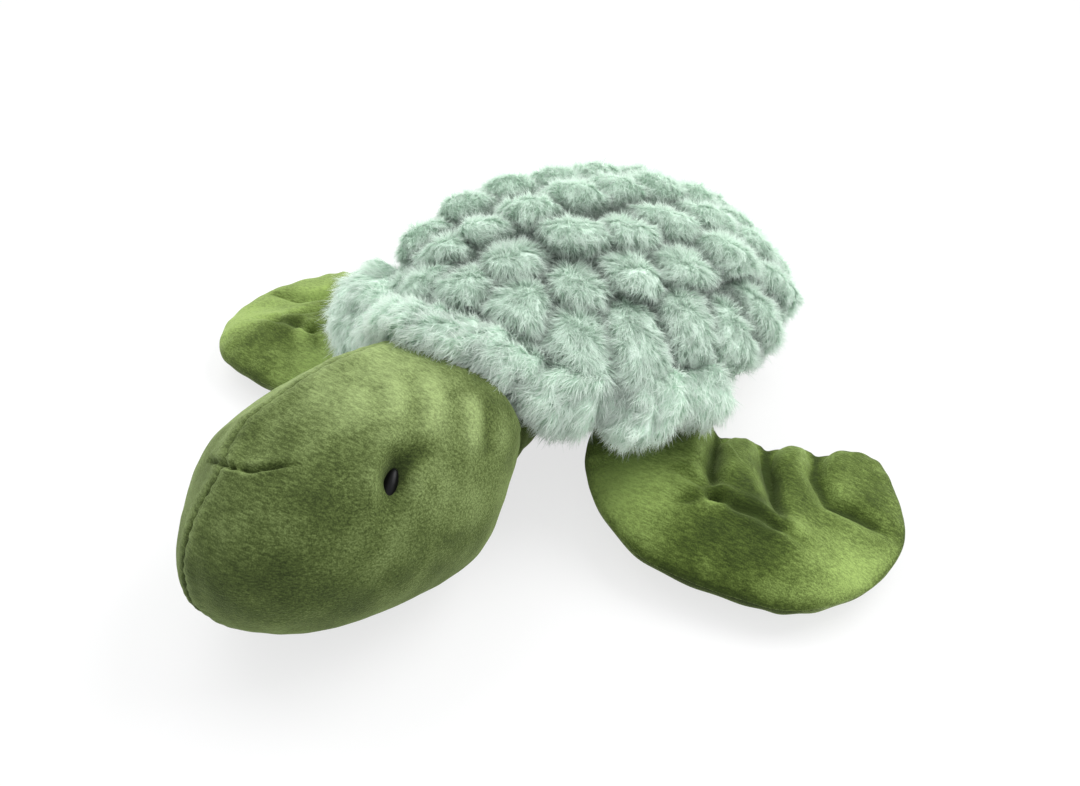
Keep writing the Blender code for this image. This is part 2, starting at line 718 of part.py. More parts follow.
for side, label in ((1, "left"), (-1, "right")):
    name = f"head_panel_{label}"
    away = box(
        f"past_{name}", (-HEAD_HALF_WIDTH * 2, -HEAD_HALF_LENGTH * 2, -HEAD_HALF_HEIGHT * 2),
        (SEAM_GAP / 2, HEAD_HALF_LENGTH * 2, HEAD_HALF_HEIGHT * 2),
        HEAD_FRAME @ Matrix.Scale(side, 4, (1, 0, 0)),
    )
    other_half = add_cutter(f"past_{name}", away)
    head_panel = add_piece(name, ball(name, MEDIUM, head_place(0, 0)), velboa, head_joint)
    tools = [tool for tool in eye_tools if f"eye_{label}" in tool.name]
    cut(head_panel, other_half, rear_cut, head_core, neck_cut, *tools)

head_stuffing = add_piece("head_stuffing", ball("head_stuffing", COARSE, head_place(
    -CLOTH - CLEARANCE, CLOTH + CLEARANCE
)), stuffing, head_joint)
cut(head_stuffing, rear_cut, neck_cut, *eye_tools)

# Limbs: two cloth panels and their stuffing each
for limb, limb_frame in limb_frames.items():
    if limb.startswith("front"):
        share = FRONT_RIGHT_SHARE if limb.endswith("right") else 1
        size = (FRONT_LENGTH * share, FRONT_WIDTH * share, FRONT_HALF_THICKNESS, FRONT_TIP_DROP)
        paddle = Paddle(limb, limb_frame, size, FRONT_OUTLINE_SHARES, FRONT_MIDDLE_SHARES, 1, 4,
                        GROOVE_SHARES)
    elif limb.startswith("rear"):
        size = (REAR_LENGTH, REAR_WIDTH, REAR_HALF_THICKNESS, REAR_TIP_DROP)
        paddle = Paddle(limb, limb_frame, size, REAR_OUTLINE_SHARES, REAR_MIDDLE_SHARES, 2, 3)
    else:
        size = (TAIL_LENGTH, TAIL_WIDTH, TAIL_HALF_THICKNESS, TAIL_TIP_DROP)
        paddle = Paddle(limb, limb_frame, size, TAIL_OUTLINE_SHARES, TAIL_MIDDLE_SHARES, 1, 3)
    limb_joint = make_joint(f"{limb}_joint", limb_frame.translation)
    paddle.add_pieces(limb_joint)
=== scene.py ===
import json
import math

import bmesh
import bpy
import numpy as np
from mathutils import Matrix, Vector, noise


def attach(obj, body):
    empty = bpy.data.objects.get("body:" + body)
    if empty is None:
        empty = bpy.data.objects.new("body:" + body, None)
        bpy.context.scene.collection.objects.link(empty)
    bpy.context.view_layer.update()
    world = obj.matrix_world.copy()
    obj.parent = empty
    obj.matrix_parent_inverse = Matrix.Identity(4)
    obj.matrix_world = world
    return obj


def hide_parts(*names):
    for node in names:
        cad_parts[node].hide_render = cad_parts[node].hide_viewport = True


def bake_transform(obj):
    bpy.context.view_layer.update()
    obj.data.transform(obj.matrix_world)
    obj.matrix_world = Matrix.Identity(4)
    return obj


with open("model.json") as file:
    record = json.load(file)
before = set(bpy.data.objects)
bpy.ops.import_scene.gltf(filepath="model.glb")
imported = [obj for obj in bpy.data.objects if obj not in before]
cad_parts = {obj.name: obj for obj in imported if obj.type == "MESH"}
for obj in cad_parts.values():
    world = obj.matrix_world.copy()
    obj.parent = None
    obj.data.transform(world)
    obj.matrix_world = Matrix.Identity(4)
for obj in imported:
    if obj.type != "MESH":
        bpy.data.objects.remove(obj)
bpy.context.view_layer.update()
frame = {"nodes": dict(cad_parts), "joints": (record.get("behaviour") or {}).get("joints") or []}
print("turtle: frame loaded")


# small tools

def smooth(value):
    value = np.clip(value, 0, 1)
    return value * value * (3 - 2 * value)


def bump(distance, width):  # 1 on the line, falling softly to 0
    return np.exp(-(distance / width) ** 2)


def unit(vectors):
    return vectors / np.maximum(np.linalg.norm(vectors, axis=-1, keepdims=True), 1e-9)


def softNoise(points, size, seed):  # about -1 to 1, patches of this size in metres
    shift = Vector((seed * 7.31, seed * 3.17, seed * 5.71))
    return np.array([noise.noise(Vector(p) / size + shift) for p in points.tolist()])


def turnedBy(frameMatrix, points):
    matrix = np.array(frameMatrix)
    return points @ matrix[:3, :3].T + matrix[:3, 3]


def nearPath(points, path):  # distance to a path of straight runs, and how far along it
    path = np.array(path, float)
    lengths = np.linalg.norm(np.diff(path, axis=0), axis=1)
    best = np.full(len(points), 9.0)
    share = np.zeros(len(points))
    done = 0.0
    for a, b, length in zip(path, path[1:], lengths):
        run = b - a
        t = np.clip((points - a) @ run / (run @ run), 0, 1)
        gap = np.linalg.norm(points - a - t[:, None] * run, axis=1)
        closer = gap < best
        best[closer] = gap[closer]
        share[closer] = ((done + t * length) / lengths.sum())[closer]
        done += length
    return best, share


def smoothCurve(points, steps, closed=False):  # Catmull-Rom through the points
    points = np.array(points, float)
    count = len(points)
    out = []
    for index in range(count if closed else count - 1):
        near = [index + k for k in (-1, 0, 1, 2)]
        near = [k % count if closed else min(max(k, 0), count - 1) for k in near]
        a, b, c, d = points[near]
        for step in range(steps):
            t = step / steps
            out.append((b * 2 + (c - a) * t + (a * 2 - b * 5 + c * 4 - d) * t * t
                        + (b * 3 - a - c * 3 + d) * t ** 3) / 2)
    if not closed:
        out.append(points[-1])
    return np.array(out)


def addPiece(name, points, faces, material, attributes=()):
    mesh = bpy.data.meshes.new(name)
    mesh.from_pydata(np.asarray(points).tolist(), [], faces)
    mesh.validate()
    grid = bmesh.new()
    grid.from_mesh(mesh)
    bmesh.ops.recalc_face_normals(grid, faces=grid.faces)
    grid.to_mesh(mesh)
    grid.free()
    mesh.shade_smooth()
    if material:
        mesh.materials.append(material)
    for label, values in attributes:
        values = np.asarray(values, np.float32)
        kind = "FLOAT_VECTOR" if values.ndim == 2 else "FLOAT"
        layer = mesh.attributes.new(label, kind, "POINT")
        layer.data.foreach_set("vector" if values.ndim == 2 else "value", values.ravel())
    piece = bpy.data.objects.new(name, mesh)
    bpy.context.scene.collection.objects.link(piece)
    return piece


def normalsOf(points, faces):  # of a grid of points given as faces of three or four corners
    total = np.zeros_like(points)
    for size in (3, 4):
        these = np.array([f for f in faces if len(f) == size])
        if len(these):
            cross = np.cross(points[these[:, 2]] - points[these[:, 0]],
                             points[these[:, -1]] - points[these[:, 1]])
            for corner in range(size):
                np.add.at(total, these[:, corner], cross)
    return unit(total)


def ringFaces(rings, sides):  # four-cornered faces between closed rings of points
    faces = []
    for ring in range(rings - 1):
        for side in range(sides):
            after = (side + 1) % sides
            faces.append((ring * sides + side, ring * sides + after,
                          (ring + 1) * sides + after, (ring + 1) * sides + side))
    return faces


def liftedOff(ways, normals, least):  # turns a strand's way up where it would lie in the skin
    lack = np.clip(least - (ways * normals).sum(1), 0, 1)
    return unit(ways + normals * lack[:, None])

def fill(tree, node, inputs):  # sets each input, or links it where the value is a socket
    for label, value in inputs.items():
        if isinstance(value, bpy.types.NodeSocket):
            tree.links.new(value, node.inputs[label])
        else:
            node.inputs[label].default_value = value
    return node


def put(tree, kind, inputs=None, **settings):  # a new node with its settings and inputs
    node = tree.nodes.new(kind)
    for label, value in settings.items():
        setattr(node, label, value)
    return fill(tree, node, inputs or {})


def maths(tree, kind, *values):
    return put(tree, "ShaderNodeMath", dict(enumerate(values)), operation=kind).outputs[0]


def scaled(tree, vector, factor):
    return put(tree, "ShaderNodeVectorMath", {0: vector, "Scale": factor}, operation="SCALE").outputs[0]


def mixed(tree, factor, low, high):
    return put(tree, "ShaderNodeMix", {"Factor": factor, "A": low, "B": high},
               data_type="RGBA").outputs["Result"]


def ranged(tree, value, low, high, toLow=0.0, toHigh=1.0, soft=True):
    return put(tree, "ShaderNodeMapRange", {
        "Value": value, "From Min": low, "From Max": high, "To Min": toLow, "To Max": toHigh,
    }, interpolation_type="SMOOTHSTEP" if soft else "LINEAR").outputs["Result"]


def newGroup(kind, name, inputs, outputs):  # a node group, its inputs, and the node for its outputs
    tree = bpy.data.node_groups.new(name, kind)
    for way, sockets in (("INPUT", inputs), ("OUTPUT", outputs)):
        for label, socketKind in sockets.items():
            tree.interface.new_socket(label, in_out=way, socket_type="NodeSocket" + socketKind)
    return tree, tree.nodes.new("NodeGroupInput").outputs, tree.nodes.new("NodeGroupOutput")


def newMaterial(name):
    material = bpy.data.materials.new(name)
    material.use_nodes = True
    return material, material.node_tree, material.node_tree.nodes["Principled BSDF"]


def placeOn(tree):
    return put(tree, "ShaderNodeTexCoord").outputs["Object"]


# velboa: the short-pile cloth of the head, the limbs and the belly

cloth = {
    "dark": (0.031, 0.045, 0.0130),
    "middle": (0.075, 0.104, 0.0265),
    "light": (0.262, 0.338, 0.132),
    "patchSize": 17.0,  # noise scales, per metre
    "streakSize": 700.0,
    "grainSize": 1200.0,
    "streakStretch": (0.30, 0.9, 1.5),
    "streakTurn": (0.3, 0.15, 0.5),
    "weights": (0.44, 0.32, 0.24, 0.16),  # of patches, streaks, grain and the painted nap, which also holds painted light and shade
    "reliefStrength": 0.55,
    "reliefDepth": 0.0012,
    "sheen": 0.40,
    "sheenRoughness": 0.40,
    "sheenTint": (0.62, 0.78, 0.32),
}


def napGroup():  # how brushed velboa lies: patches, short streaks and grain, with the painted nap, which also holds painted light and shade
    tree, given, out = newGroup("ShaderNodeTree", "brushedNap", {
        "Place": "Vector", "Nap And Shade": "Float", "Dark": "Color", "Middle": "Color", "Light": "Color",
        "Patch Scale": "Float", "Streak Scale": "Float", "Grain Scale": "Float",
    }, {"Color": "Color", "Roughness": "Float", "Height": "Float"})

    def noiseNode(label, detail, place=given["Place"], distortion=0.0):
        return put(tree, "ShaderNodeTexNoise", {
            "Vector": place, "Scale": given[label], "Detail": detail,
            "Distortion": distortion}).outputs["Fac"]

    def weighted(values, weights):
        total = maths(tree, "MULTIPLY", values[0], weights[0])
        for value, weight in zip(values[1:], weights[1:]):
            total = maths(tree, "ADD", total, maths(tree, "MULTIPLY", value, weight))
        return total

    turned = put(tree, "ShaderNodeMapping", {
        "Vector": given["Place"], "Scale": cloth["streakStretch"], "Rotation": cloth["streakTurn"]})
    patches = noiseNode("Patch Scale", 2.0, distortion=0.5)
    streaks = noiseNode("Streak Scale", 3.0, turned.outputs[0])
    grain = noiseNode("Grain Scale", 1.0)
    # the painted nap goes into how the pile lies, so the painted light and shade it holds go into the colour
    lie = weighted((patches, streaks, grain, given["Nap And Shade"]), cloth["weights"])
    colour = mixed(tree, ranged(tree, lie, 0.29, 0.60), given["Dark"], given["Middle"])
    colour = mixed(tree, ranged(tree, lie, 0.45, 0.96), colour, given["Light"])
    pile = ranged(tree, weighted((streaks, grain), (0.6, 0.4)), 0.34, 0.66, 0.84, 1.16)
    fill(tree, out, {
        "Color": scaled(tree, colour, pile),
        "Roughness": ranged(tree, lie, 0.3, 0.7, 0.95, 0.72),
        "Height": weighted((streaks, grain), (0.45, 0.55))})
    return tree


brushedNap = napGroup()


def velboaMaterial(name, tone=1.0, patch=1.0, tint=(1, 1, 1)):
    material, tree, shader = newMaterial(name)
    dark, middle, light = ((*[c * tone * t for c, t in zip(cloth[key], tint)], 1)
                           for key in ("dark", "middle", "light"))
    napAndShade = put(tree, "ShaderNodeGroup", {
        "Place": placeOn(tree),
        "Nap And Shade": put(tree, "ShaderNodeAttribute", attribute_name="napAndShade").outputs["Fac"],
        "Dark": dark, "Middle": middle, "Light": light,
        "Patch Scale": cloth["patchSize"] * patch, "Streak Scale": cloth["streakSize"],
        "Grain Scale": cloth["grainSize"]}, node_tree=brushedNap).outputs
    relief = put(tree, "ShaderNodeBump", {
        "Strength": cloth["reliefStrength"], "Distance": cloth["reliefDepth"],
        "Height": napAndShade["Height"]})
    fill(tree, shader, {
        "Base Color": napAndShade["Color"], "Roughness": napAndShade["Roughness"],
        "Normal": relief.outputs["Normal"], "Specular IOR Level": 0.12,
        "Sheen Weight": cloth["sheen"], "Sheen Roughness": cloth["sheenRoughness"],
        "Sheen Tint": (*cloth["sheenTint"], 1)})
    return material


# fur: the strands, and the knitted ground that they stand on

fur = {
    "shell": ((0.44, 0.590, 0.480), (0.84, 0.970, 0.870), (0.94, 0.998, 0.955)),  # root, middle, tip, here and for the brim; the darker roots are partly the fur's own and partly painted shade deep in the pile
    "brim": ((0.64, 0.82, 0.69), (0.88, 0.990, 0.905), (0.95, 0.998, 0.96)),
    "ground": ((0.56, 0.70, 0.59), (0.80, 0.93, 0.835)),
    "middleAt": 0.42,  # share of the strand's length
    "deepest": 0.35,  # how dark the pile is painted in the creases: painted shade
    "through": 0.42,  # fine hair lets light through
    "sheenTint": (0.86, 1.0, 0.91),
    "groundSize": 700.0,
    "groundDepth": 0.001,
}


def strandGroup():  # reads the strand's own map: its tone across, which carries painted crease shade and light as well as random tone, and root to tip along
    tree, given, out = newGroup("ShaderNodeTree", "strandColour", {
        "Map": "Vector", "Root": "Color", "Middle": "Color", "Tip": "Color", "Middle At": "Float",
        "Deepest": "Float"}, {"Color": "Color"})
    parts = put(tree, "ShaderNodeSeparateXYZ", {0: given["Map"]}).outputs
    lower = ranged(tree, parts["Y"], 0.0, given["Middle At"], soft=False)
    upper = ranged(tree, parts["Y"], given["Middle At"], 1.0, soft=False)
    colour = mixed(tree, lower, given["Root"], given["Middle"])
    colour = mixed(tree, upper, colour, given["Tip"])
    # painted shade: the map's X darkens the strand down to Deepest in the creases
    tone = ranged(tree, parts["X"], 0.0, 1.0, given["Deepest"], 1.0, soft=False)
    fill(tree, out, {"Color": scaled(tree, colour, tone)})
    return tree


strandColour = strandGroup()


def furMaterial(name, tones):
    material, tree, shader = newMaterial(name)
    root, middle, tip = ((*tone, 1) for tone in tones)
    shade = put(tree, "ShaderNodeGroup", {
        "Map": put(tree, "ShaderNodeUVMap", uv_map="OFBake").outputs[0],
        "Root": root, "Middle": middle, "Tip": tip, "Middle At": fur["middleAt"],
        "Deepest": fur["deepest"]}, node_tree=strandColour).outputs["Color"]
    fill(tree, shader, {
        "Base Color": shade, "Roughness": 0.62, "Specular IOR Level": 0.25, "Sheen Weight": 0.5,
        "Sheen Roughness": 0.5, "Sheen Tint": (*fur["sheenTint"], 1)})
    through = put(tree, "ShaderNodeBsdfTranslucent", {"Color": shade})
    both = put(tree, "ShaderNodeMixShader", {
        "Fac": fur["through"], 1: shader.outputs[0], 2: through.outputs[0]})
    fill(tree, tree.nodes["Material Output"], {"Surface": both.outputs[0]})
    return material


def groundMaterial(name, deep, pale):
    material, tree, shader = newMaterial(name)
    speck = put(tree, "ShaderNodeTexNoise", {
        "Vector": placeOn(tree), "Scale": fur["groundSize"], "Detail": 3}).outputs["Fac"]
    colour = mixed(tree, ranged(tree, speck, 0.3, 0.75, soft=False), (*deep, 1), (*pale, 1))
    # painted shade: the ground is darkened in the creases by the strands' tone and shade attribute
    light = put(tree, "ShaderNodeAttribute", attribute_name="strandToneAndShade").outputs["Fac"]
    relief = put(tree, "ShaderNodeBump", {"Distance": fur["groundDepth"], "Height": speck})
    fill(tree, shader, {
        "Base Color": scaled(tree, colour, ranged(tree, light, 0.0, 1.0, fur["deepest"], 1.0, soft=False)),
        "Normal": relief.outputs["Normal"], "Roughness": 0.95, "Specular IOR Level": 0.05})
    return material


# moulded plastic: the eyes and their washers

plastic = {
    "dustSize": 260.0,
    "roughnessSpread": 0.12,
    "eye": ((0.0015, 0.0015, 0.0015), (0.005, 0.005, 0.006), 0.34, 0.18),  # low, high, roughness, specular
    "washer": ((0.50, 0.51, 0.50), (0.62, 0.63, 0.62), 0.45, 0.5),
}


def dustGroup():  # fine dust in moulded plastic
    tree, given, out = newGroup("ShaderNodeTree", "mouldedDust", {
        "Place": "Vector", "Dust Scale": "Float", "Low": "Color", "High": "Color",
        "Low Roughness": "Float", "High Roughness": "Float"}, {"Color": "Color", "Roughness": "Float"})
    dust = put(tree, "ShaderNodeTexNoise", {
        "Vector": given["Place"], "Scale": given["Dust Scale"], "Detail": 4}).outputs["Fac"]
    fill(tree, out, {
        "Color": mixed(tree, dust, given["Low"], given["High"]),
        "Roughness": ranged(tree, dust, 0.0, 1.0, given["Low Roughness"], given["High Roughness"],
                            soft=False)})
    return tree


mouldedDust = dustGroup()


def plasticMaterial(name, low, high, roughness, specular):
    material, tree, shader = newMaterial(name)
    dust = put(tree, "ShaderNodeGroup", {
        "Place": placeOn(tree), "Dust Scale": plastic["dustSize"], "Low": (*low, 1), "High": (*high, 1),
        "Low Roughness": roughness, "High Roughness": roughness + plastic["roughnessSpread"],
    }, node_tree=mouldedDust).outputs
    fill(tree, shader, {"Base Color": dust["Color"], "Roughness": dust["Roughness"],
                        "Specular IOR Level": specular})
    return material


headVelboa = velboaMaterial("headVelboa")
flipperVelboa = velboaMaterial("flipperVelboa", tone=1.03, patch=1.25, tint=(0.93, 1, 0.70))
# a darker copy of the same velboa for the belly and the undersides of the flippers and tail: painted shade
shadedUnderVelboa = velboaMaterial("shadedUnderVelboa", tone=0.82)
shellFur = furMaterial("shellFur", fur["shell"])
brimFur = furMaterial("brimFur", fur["brim"])
shellBacking = groundMaterial("shellBacking", *fur["ground"])
eyePlastic = plasticMaterial("eyePlastic", *plastic["eye"])
washerPlastic = plasticMaterial("washerPlastic", *plastic["washer"])
print("turtle: materials ready")


# camera, lamps and floor

view = {
    "place": (0.3471, -0.5959, 0.4724),
    "target": (0.0077, -0.0810, 0.0254),
    "lens": 34.69,
    "lamps": (  # name, place, size, watts
        ("softKey", (0.80, 0.85, 1.35), 1.3, 27.5),
        ("softLeft", (-0.90, 0.10, 1.20), 1.3, 12.0),
        ("softFront", (0.9, -1.5, 1.1), 1.6, 3.3),
    ),
    "lit": (0, -0.1, 0.05),  # where the lamps point
    "ambient": 0.74,
    "floorHalf": 6,
    "floorDrop": 0.0004,
    "floorGlow": 0.72,
    "fadeFrom": 0.45,  # the floor fades to white between these distances
    "fadeTo": 1.5,
}


def aimed(name, data, place, target):  # a camera or a lamp that points at a place
    thing = bpy.data.objects.new(name, data)
    thing.location = place
    thing.rotation_euler = (Vector(target) - thing.location).to_track_quat("-Z", "Y").to_euler()
    bpy.context.scene.collection.objects.link(thing)
    return thing


def setWorld():
    world = bpy.data.worlds.new("studio")
    bpy.context.scene.world = world
    world.use_nodes = True
    tree = world.node_tree
    tree.nodes.clear()
    rays = put(tree, "ShaderNodeLightPath").outputs
    lit = put(tree, "ShaderNodeBackground", {"Strength": view["ambient"], "Color": (0.97, 0.99, 1.0, 1)})
    seen = put(tree, "ShaderNodeBackground", {"Color": (1, 1, 1, 1)})
    either = maths(tree, "MAXIMUM", rays["Is Camera Ray"], rays["Is Transmission Ray"])
    mix = put(tree, "ShaderNodeMixShader", {"Fac": either, 1: lit.outputs[0], 2: seen.outputs[0]})
    put(tree, "ShaderNodeOutputWorld", {"Surface": mix.outputs[0]})


def floorMaterial():
    material, tree, shader = newMaterial("paleFloor")
    fill(tree, shader, {"Base Color": (0.88, 0.88, 0.88, 1), "Roughness": 0.9,
                        "Specular IOR Level": 0.0})
    far = put(tree, "ShaderNodeVectorMath", {0: placeOn(tree)}, operation="LENGTH").outputs["Value"]
    fade = ranged(tree, far, view["fadeFrom"], view["fadeTo"], view["floorGlow"], 1.0, soft=False)
    seen = put(tree, "ShaderNodeLightPath").outputs["Is Camera Ray"]
    glow = put(tree, "ShaderNodeEmission", {"Color": (1, 1, 1, 1)})
    mix = put(tree, "ShaderNodeMixShader", {
        "Fac": maths(tree, "MULTIPLY", seen, fade), 1: shader.outputs[0], 2: glow.outputs[0]})
    fill(tree, tree.nodes["Material Output"], {"Surface": mix.outputs[0]})
    return material


def setStage():
    camera = aimed("photoView", bpy.data.cameras.new("photoView"), view["place"], view["target"])
    camera.data.lens = view["lens"]
    camera.data.sensor_width = 36
    camera.data.clip_start = 0.01
    bpy.context.scene.camera = camera
    for name, place, size, watts in view["lamps"]:
        lamp = aimed(name, bpy.data.lights.new(name, "AREA"), place, view["lit"])
        lamp.data.size = size
        lamp.data.energy = watts
    setWorld()
    half = view["floorHalf"]
    floor = addPiece("floor", [(-half, -half, 0), (half, -half, 0), (half, half, 0), (-half, half, 0)],
                     [(0, 1, 2, 3)], floorMaterial())
    floor.location.z = -view["floorDrop"]
    bpy.context.scene.view_settings.view_transform = "Standard"


setStage()


# body: the skins under the fur

shell = {
    "halfWidth": 0.145, "halfLength": 0.180, "rise": 0.0855, "midHeight": 0.0711,
    "slope": 0.129, "rimDrop": 0.012,
    "sink": -0.0005,  # how far the skin lies under the fur's outer form
    "sideSwell": 0.006,
    "tuftGap": 0.0430, "lineGap": 0.0500, "tuftLean": 24, "evenOut": 25,
    "tufts": (  # the ones that can be counted, as x and y seen from above
        (-0.004, -0.110), (0.0275, -0.137), (0.053, -0.1045), (0.023, -0.0515), (0.045, -0.026),
        (0.073, -0.066), (0.093, -0.030), (0.054, 0.021), (0.095, -0.104), (0.070, -0.1315),
        (0.114, -0.058), (0.101, 0.033), (0.1365, -0.032), (0.1245, 0.076), (0.067, 0.069),
        (-0.008, 0.037), (0.010, 0.073), (0.028, 0.117), (-0.0245, -0.002), (-0.069, -0.099),
        (-0.019, -0.138), (-0.037, -0.039), (-0.057, -0.079)),
    "swells": (((0.128, 0.085, 0.005), 0.017, 0.0090), ((0.1395, 0.040, 0.02), 0.014, -0.0045)),
    "tuftDepth": 0.0215, "overhang": 0.50, "clumpLift": 0.0016, "level": 7,
    "wrapWidth": 0.276, "wrapLength": 0.18,
    "comb": (0.28, -0.45, -0.10),  # the way the pile was stroked
    "outward": 0.52, "combed": 0.48, "leastLift": 0.24, "moundPower": 4.2, "rimHigh": 0.80,
}


def lean(y, unitZ):
    return shell["slope"] * y * (1 - smooth(-unitZ))


def laidFlat(x, y):  # from a place seen from above to the distance along the cover
    return np.stack([x * (1 + shell["wrapWidth"] * (x / shell["halfWidth"]) ** 4),
                     y * (1 + shell["wrapLength"] * (y / shell["halfLength"]) ** 4)], -1)


def tuftPlaces():
    seen = laidFlat(*np.array(shell["tufts"]).T)
    angle, gap = math.radians(shell["tuftLean"]), shell["tuftGap"]
    along = np.array([math.sin(angle), math.cos(angle)]) * gap
    across = np.array([math.cos(angle), -math.sin(angle)]) * shell["lineGap"]
    rest = []
    for line in range(-6, 7):
        for step in range(-8, 9):
            place = seen[4] + across * line + along * (step + 0.5 * (line % 2))
            inside = math.hypot(place[0] / 0.205, place[1] / 0.232) < 1
            if inside and np.linalg.norm(seen - place, axis=1).min() > 0.75 * gap:
                rest.append(place)
    rest = np.array(rest)
    for turn in range(shell["evenOut"]):
        away = rest[:, None] - np.concatenate([seen, rest])[None]
        far = np.linalg.norm(away, axis=2) + 1e-9
        push = np.clip(1 - far / (1.1 * gap), 0, 1) / far
        rest = rest + (away * push[..., None]).sum(1) * 0.12 * gap
    return np.concatenate([seen, rest])


def tuftsAt(places):  # how far from its tuft's middle, 1 at the crease; the offset; the tuft's number
    tufts = tuftPlaces()
    far = np.linalg.norm(places[:, None] - tufts[None], axis=2)
    order = np.argsort(far, axis=1)[:, :2]
    nearest, second = far[np.arange(len(far)), order[:, 0]], far[np.arange(len(far)), order[:, 1]]
    return 2 * nearest / (nearest + second), places - tufts[order[:, 0]], order[:, 0]


def ballGrid(level):
    grid = bmesh.new()
    bmesh.ops.create_icosphere(grid, subdivisions=level, radius=1)
    points = np.array([v.co[:] for v in grid.verts])
    faces = [tuple(v.index for v in f.verts) for f in grid.faces]
    grid.free()
    return points, faces


def makeShellSkin():
    units, faces = ballGrid(shell["level"])
    ux, uy, uz = units.T
    size = np.array([shell["halfWidth"], shell["halfLength"], shell["rise"]])
    dome = unit(units / size[None])
    far, offset, tuft = tuftsAt(laidFlat(size[0] * ux, size[1] * uy))
    tone = (np.sin(tuft * 12.9898) * 43758.5) % 1
    comb = unit(np.array(shell["comb"]))
    low = np.clip(offset @ comb[:2] / (shell["tuftGap"] / 2), -1, 1)
    mound = np.sqrt(1 - np.clip(far, 0, 1) ** shell["moundPower"])
    high = mound * (1 - shell["overhang"] / 2 + shell["overhang"] * low)
    rimRoll = smooth((0.13 - uz) / 0.18)  # the tufts run together along the rim
    high += rimRoll * (shell["rimHigh"] - high)
    edge = smooth(1 + uz)
    sunk = shell["sink"] + shell["tuftDepth"] * (1 - high) * edge - 0.004 * (tone - 0.5)
    sunk -= shell["sideSwell"] * smooth(ux * 1.8 + 0.4 * uy) * bump(uz - 0.12, 0.26)
    for place, wide, amount in shell["swells"]:
        sunk -= amount * bump(np.linalg.norm(units * size - place, axis=1), wide)
    sunk += 0.005 * smooth(-ux * 2.2) + 0.003 * smooth(ux * 2.4) * smooth(uy * 2.4)
    flat = units * size
    clumps = softNoise(flat, 0.0105, 31) + 0.6 * softNoise(flat, 0.0055, 32)
    sunk -= shell["clumpLift"] * clumps * mound
    points = units * (size[None] - sunk[:, None])
    points[:, 2] += shell["midHeight"] - lean(points[:, 1], uz)
    rim = shell["midHeight"] - shell["rimDrop"] - shell["slope"] * points[:, 1]
    rim += 0.003 * np.sin(np.arctan2(ux, uy) * 19)
    under = points[:, 2] < rim
    points[:, 2] = np.maximum(points[:, 2], rim)
    skinNormal = normalsOf(points, faces)
    skinNormal[(skinNormal * dome).sum(1) < 0] *= -1
    flat = np.concatenate([offset, np.zeros((len(offset), 1))], 1)
    flat -= dome * (flat * dome).sum(1)[:, None]
    out = unit(flat) * smooth(far * 1.4)[:, None]
    comb = comb + np.stack([0.5 * np.sin(tone * 40), 0.35 * np.sin(tone * 67 + 1), 0 * tone], 1)
    comb = comb - dome * (comb * dome).sum(1)[:, None]
    upright = 0.58 - 0.34 * smooth(far * 1.6)
    strand = unit(skinNormal * upright[:, None] + out * shell["outward"] + comb * shell["combed"])
    strand = liftedOff(strand, skinNormal, shell["leastLift"])
    density = np.where(under, 0.0, 1.0)
    # painted light and shade for the strands and the ground: dark in the creases, most on each tuft's upper
    # side, lighter on raised clumps, a little darker in each tuft's middle, and darker all over towards the
    # front and the +X side; the tuft's own tone adds random tone
    rimLight = smooth((1 - far) * (2.8 + 6.0 * smooth(low)))
    light = np.clip(0.02 + 0.97 * rimLight + 0.12 * tone + 0.06 * clumps
                    - 0.12 * bump(far, 0.35), 0, 1)
    light *= 1.0 - 0.13 * smooth((ux * 0.55 - uy * 0.83 + 0.1) * 1.1)
    reach = 0.42 + 0.60 * smooth((1 - far) * (2.4 + 6.0 * smooth(low))) - 0.08 * bump(far, 0.3)
    return addPiece("shellSkin", points, faces, shellBacking, (
        ("strandWay", strand), ("strandCover", density), ("strandToneAndShade", light),
        ("strandReach", reach)))


shellSkin = makeShellSkin()
print("turtle: shell skin", len(shellSkin.data.polygons))


brim = {
    "sewn": ((0.00, -0.875, 1.93), (0.20, -0.86, 1.90), (0.38, -0.83, 1.76), (0.52, -0.79, 1.60),
             (0.66, -0.70, 1.50), (0.78, -0.58, 1.40), (0.88, -0.42, 1.30), (0.95, -0.22, 1.20),
             (0.98, 0.00, 1.12)),
    "free": ((0.00, -1.185, 2.02), (0.17, -1.15, 1.93), (0.31, -1.06, 1.62), (0.43, -0.94, 1.18),
             (0.60, -0.84, 0.98), (0.80, -0.75, 0.95), (0.97, -0.56, 0.93), (1.03, -0.32, 0.93),
             (1.00, 0.02, 0.95)),
    "steps": 22, "sides": 44, "thick": 0.0135, "frontThick": 0.0095, "frontDrop": 0.010,
    "tipShare": 0.40, "tuck": 0.010, "lumps": 0.0052,
    "leftEnd": 6.9, "rightEnd": 6.5,
    "lobes": ((3.35, 0.006, 0.50), (4.85, 0.007, 0.50), (6.35, 0.007, 0.55)),  # place, reach, width
    "notches": ((4.12, 0.008, 0.26), (5.60, 0.008, 0.26)),
    "rightLobes": ((2.2, 0.003, 0.7), (4.3, 0.014, 0.9)),
    "rightNotches": ((3.1, 0.001, 0.3),),
    "leastLift": 0.30, "swellShare": 0.6,
    "endPull": (0.35, 0.55), "endSink": (0.012, 0.010),  # how the two ends close, sewn edge and free edge
}


def brimEdge(shares):
    size = np.array([shell["halfWidth"], shell["halfLength"], shell["midHeight"]])
    left = np.array(shares) * size
    right = left[:0:-1] * (-1, 1, 1)
    return smoothCurve(np.concatenate([right, left]), brim["steps"])


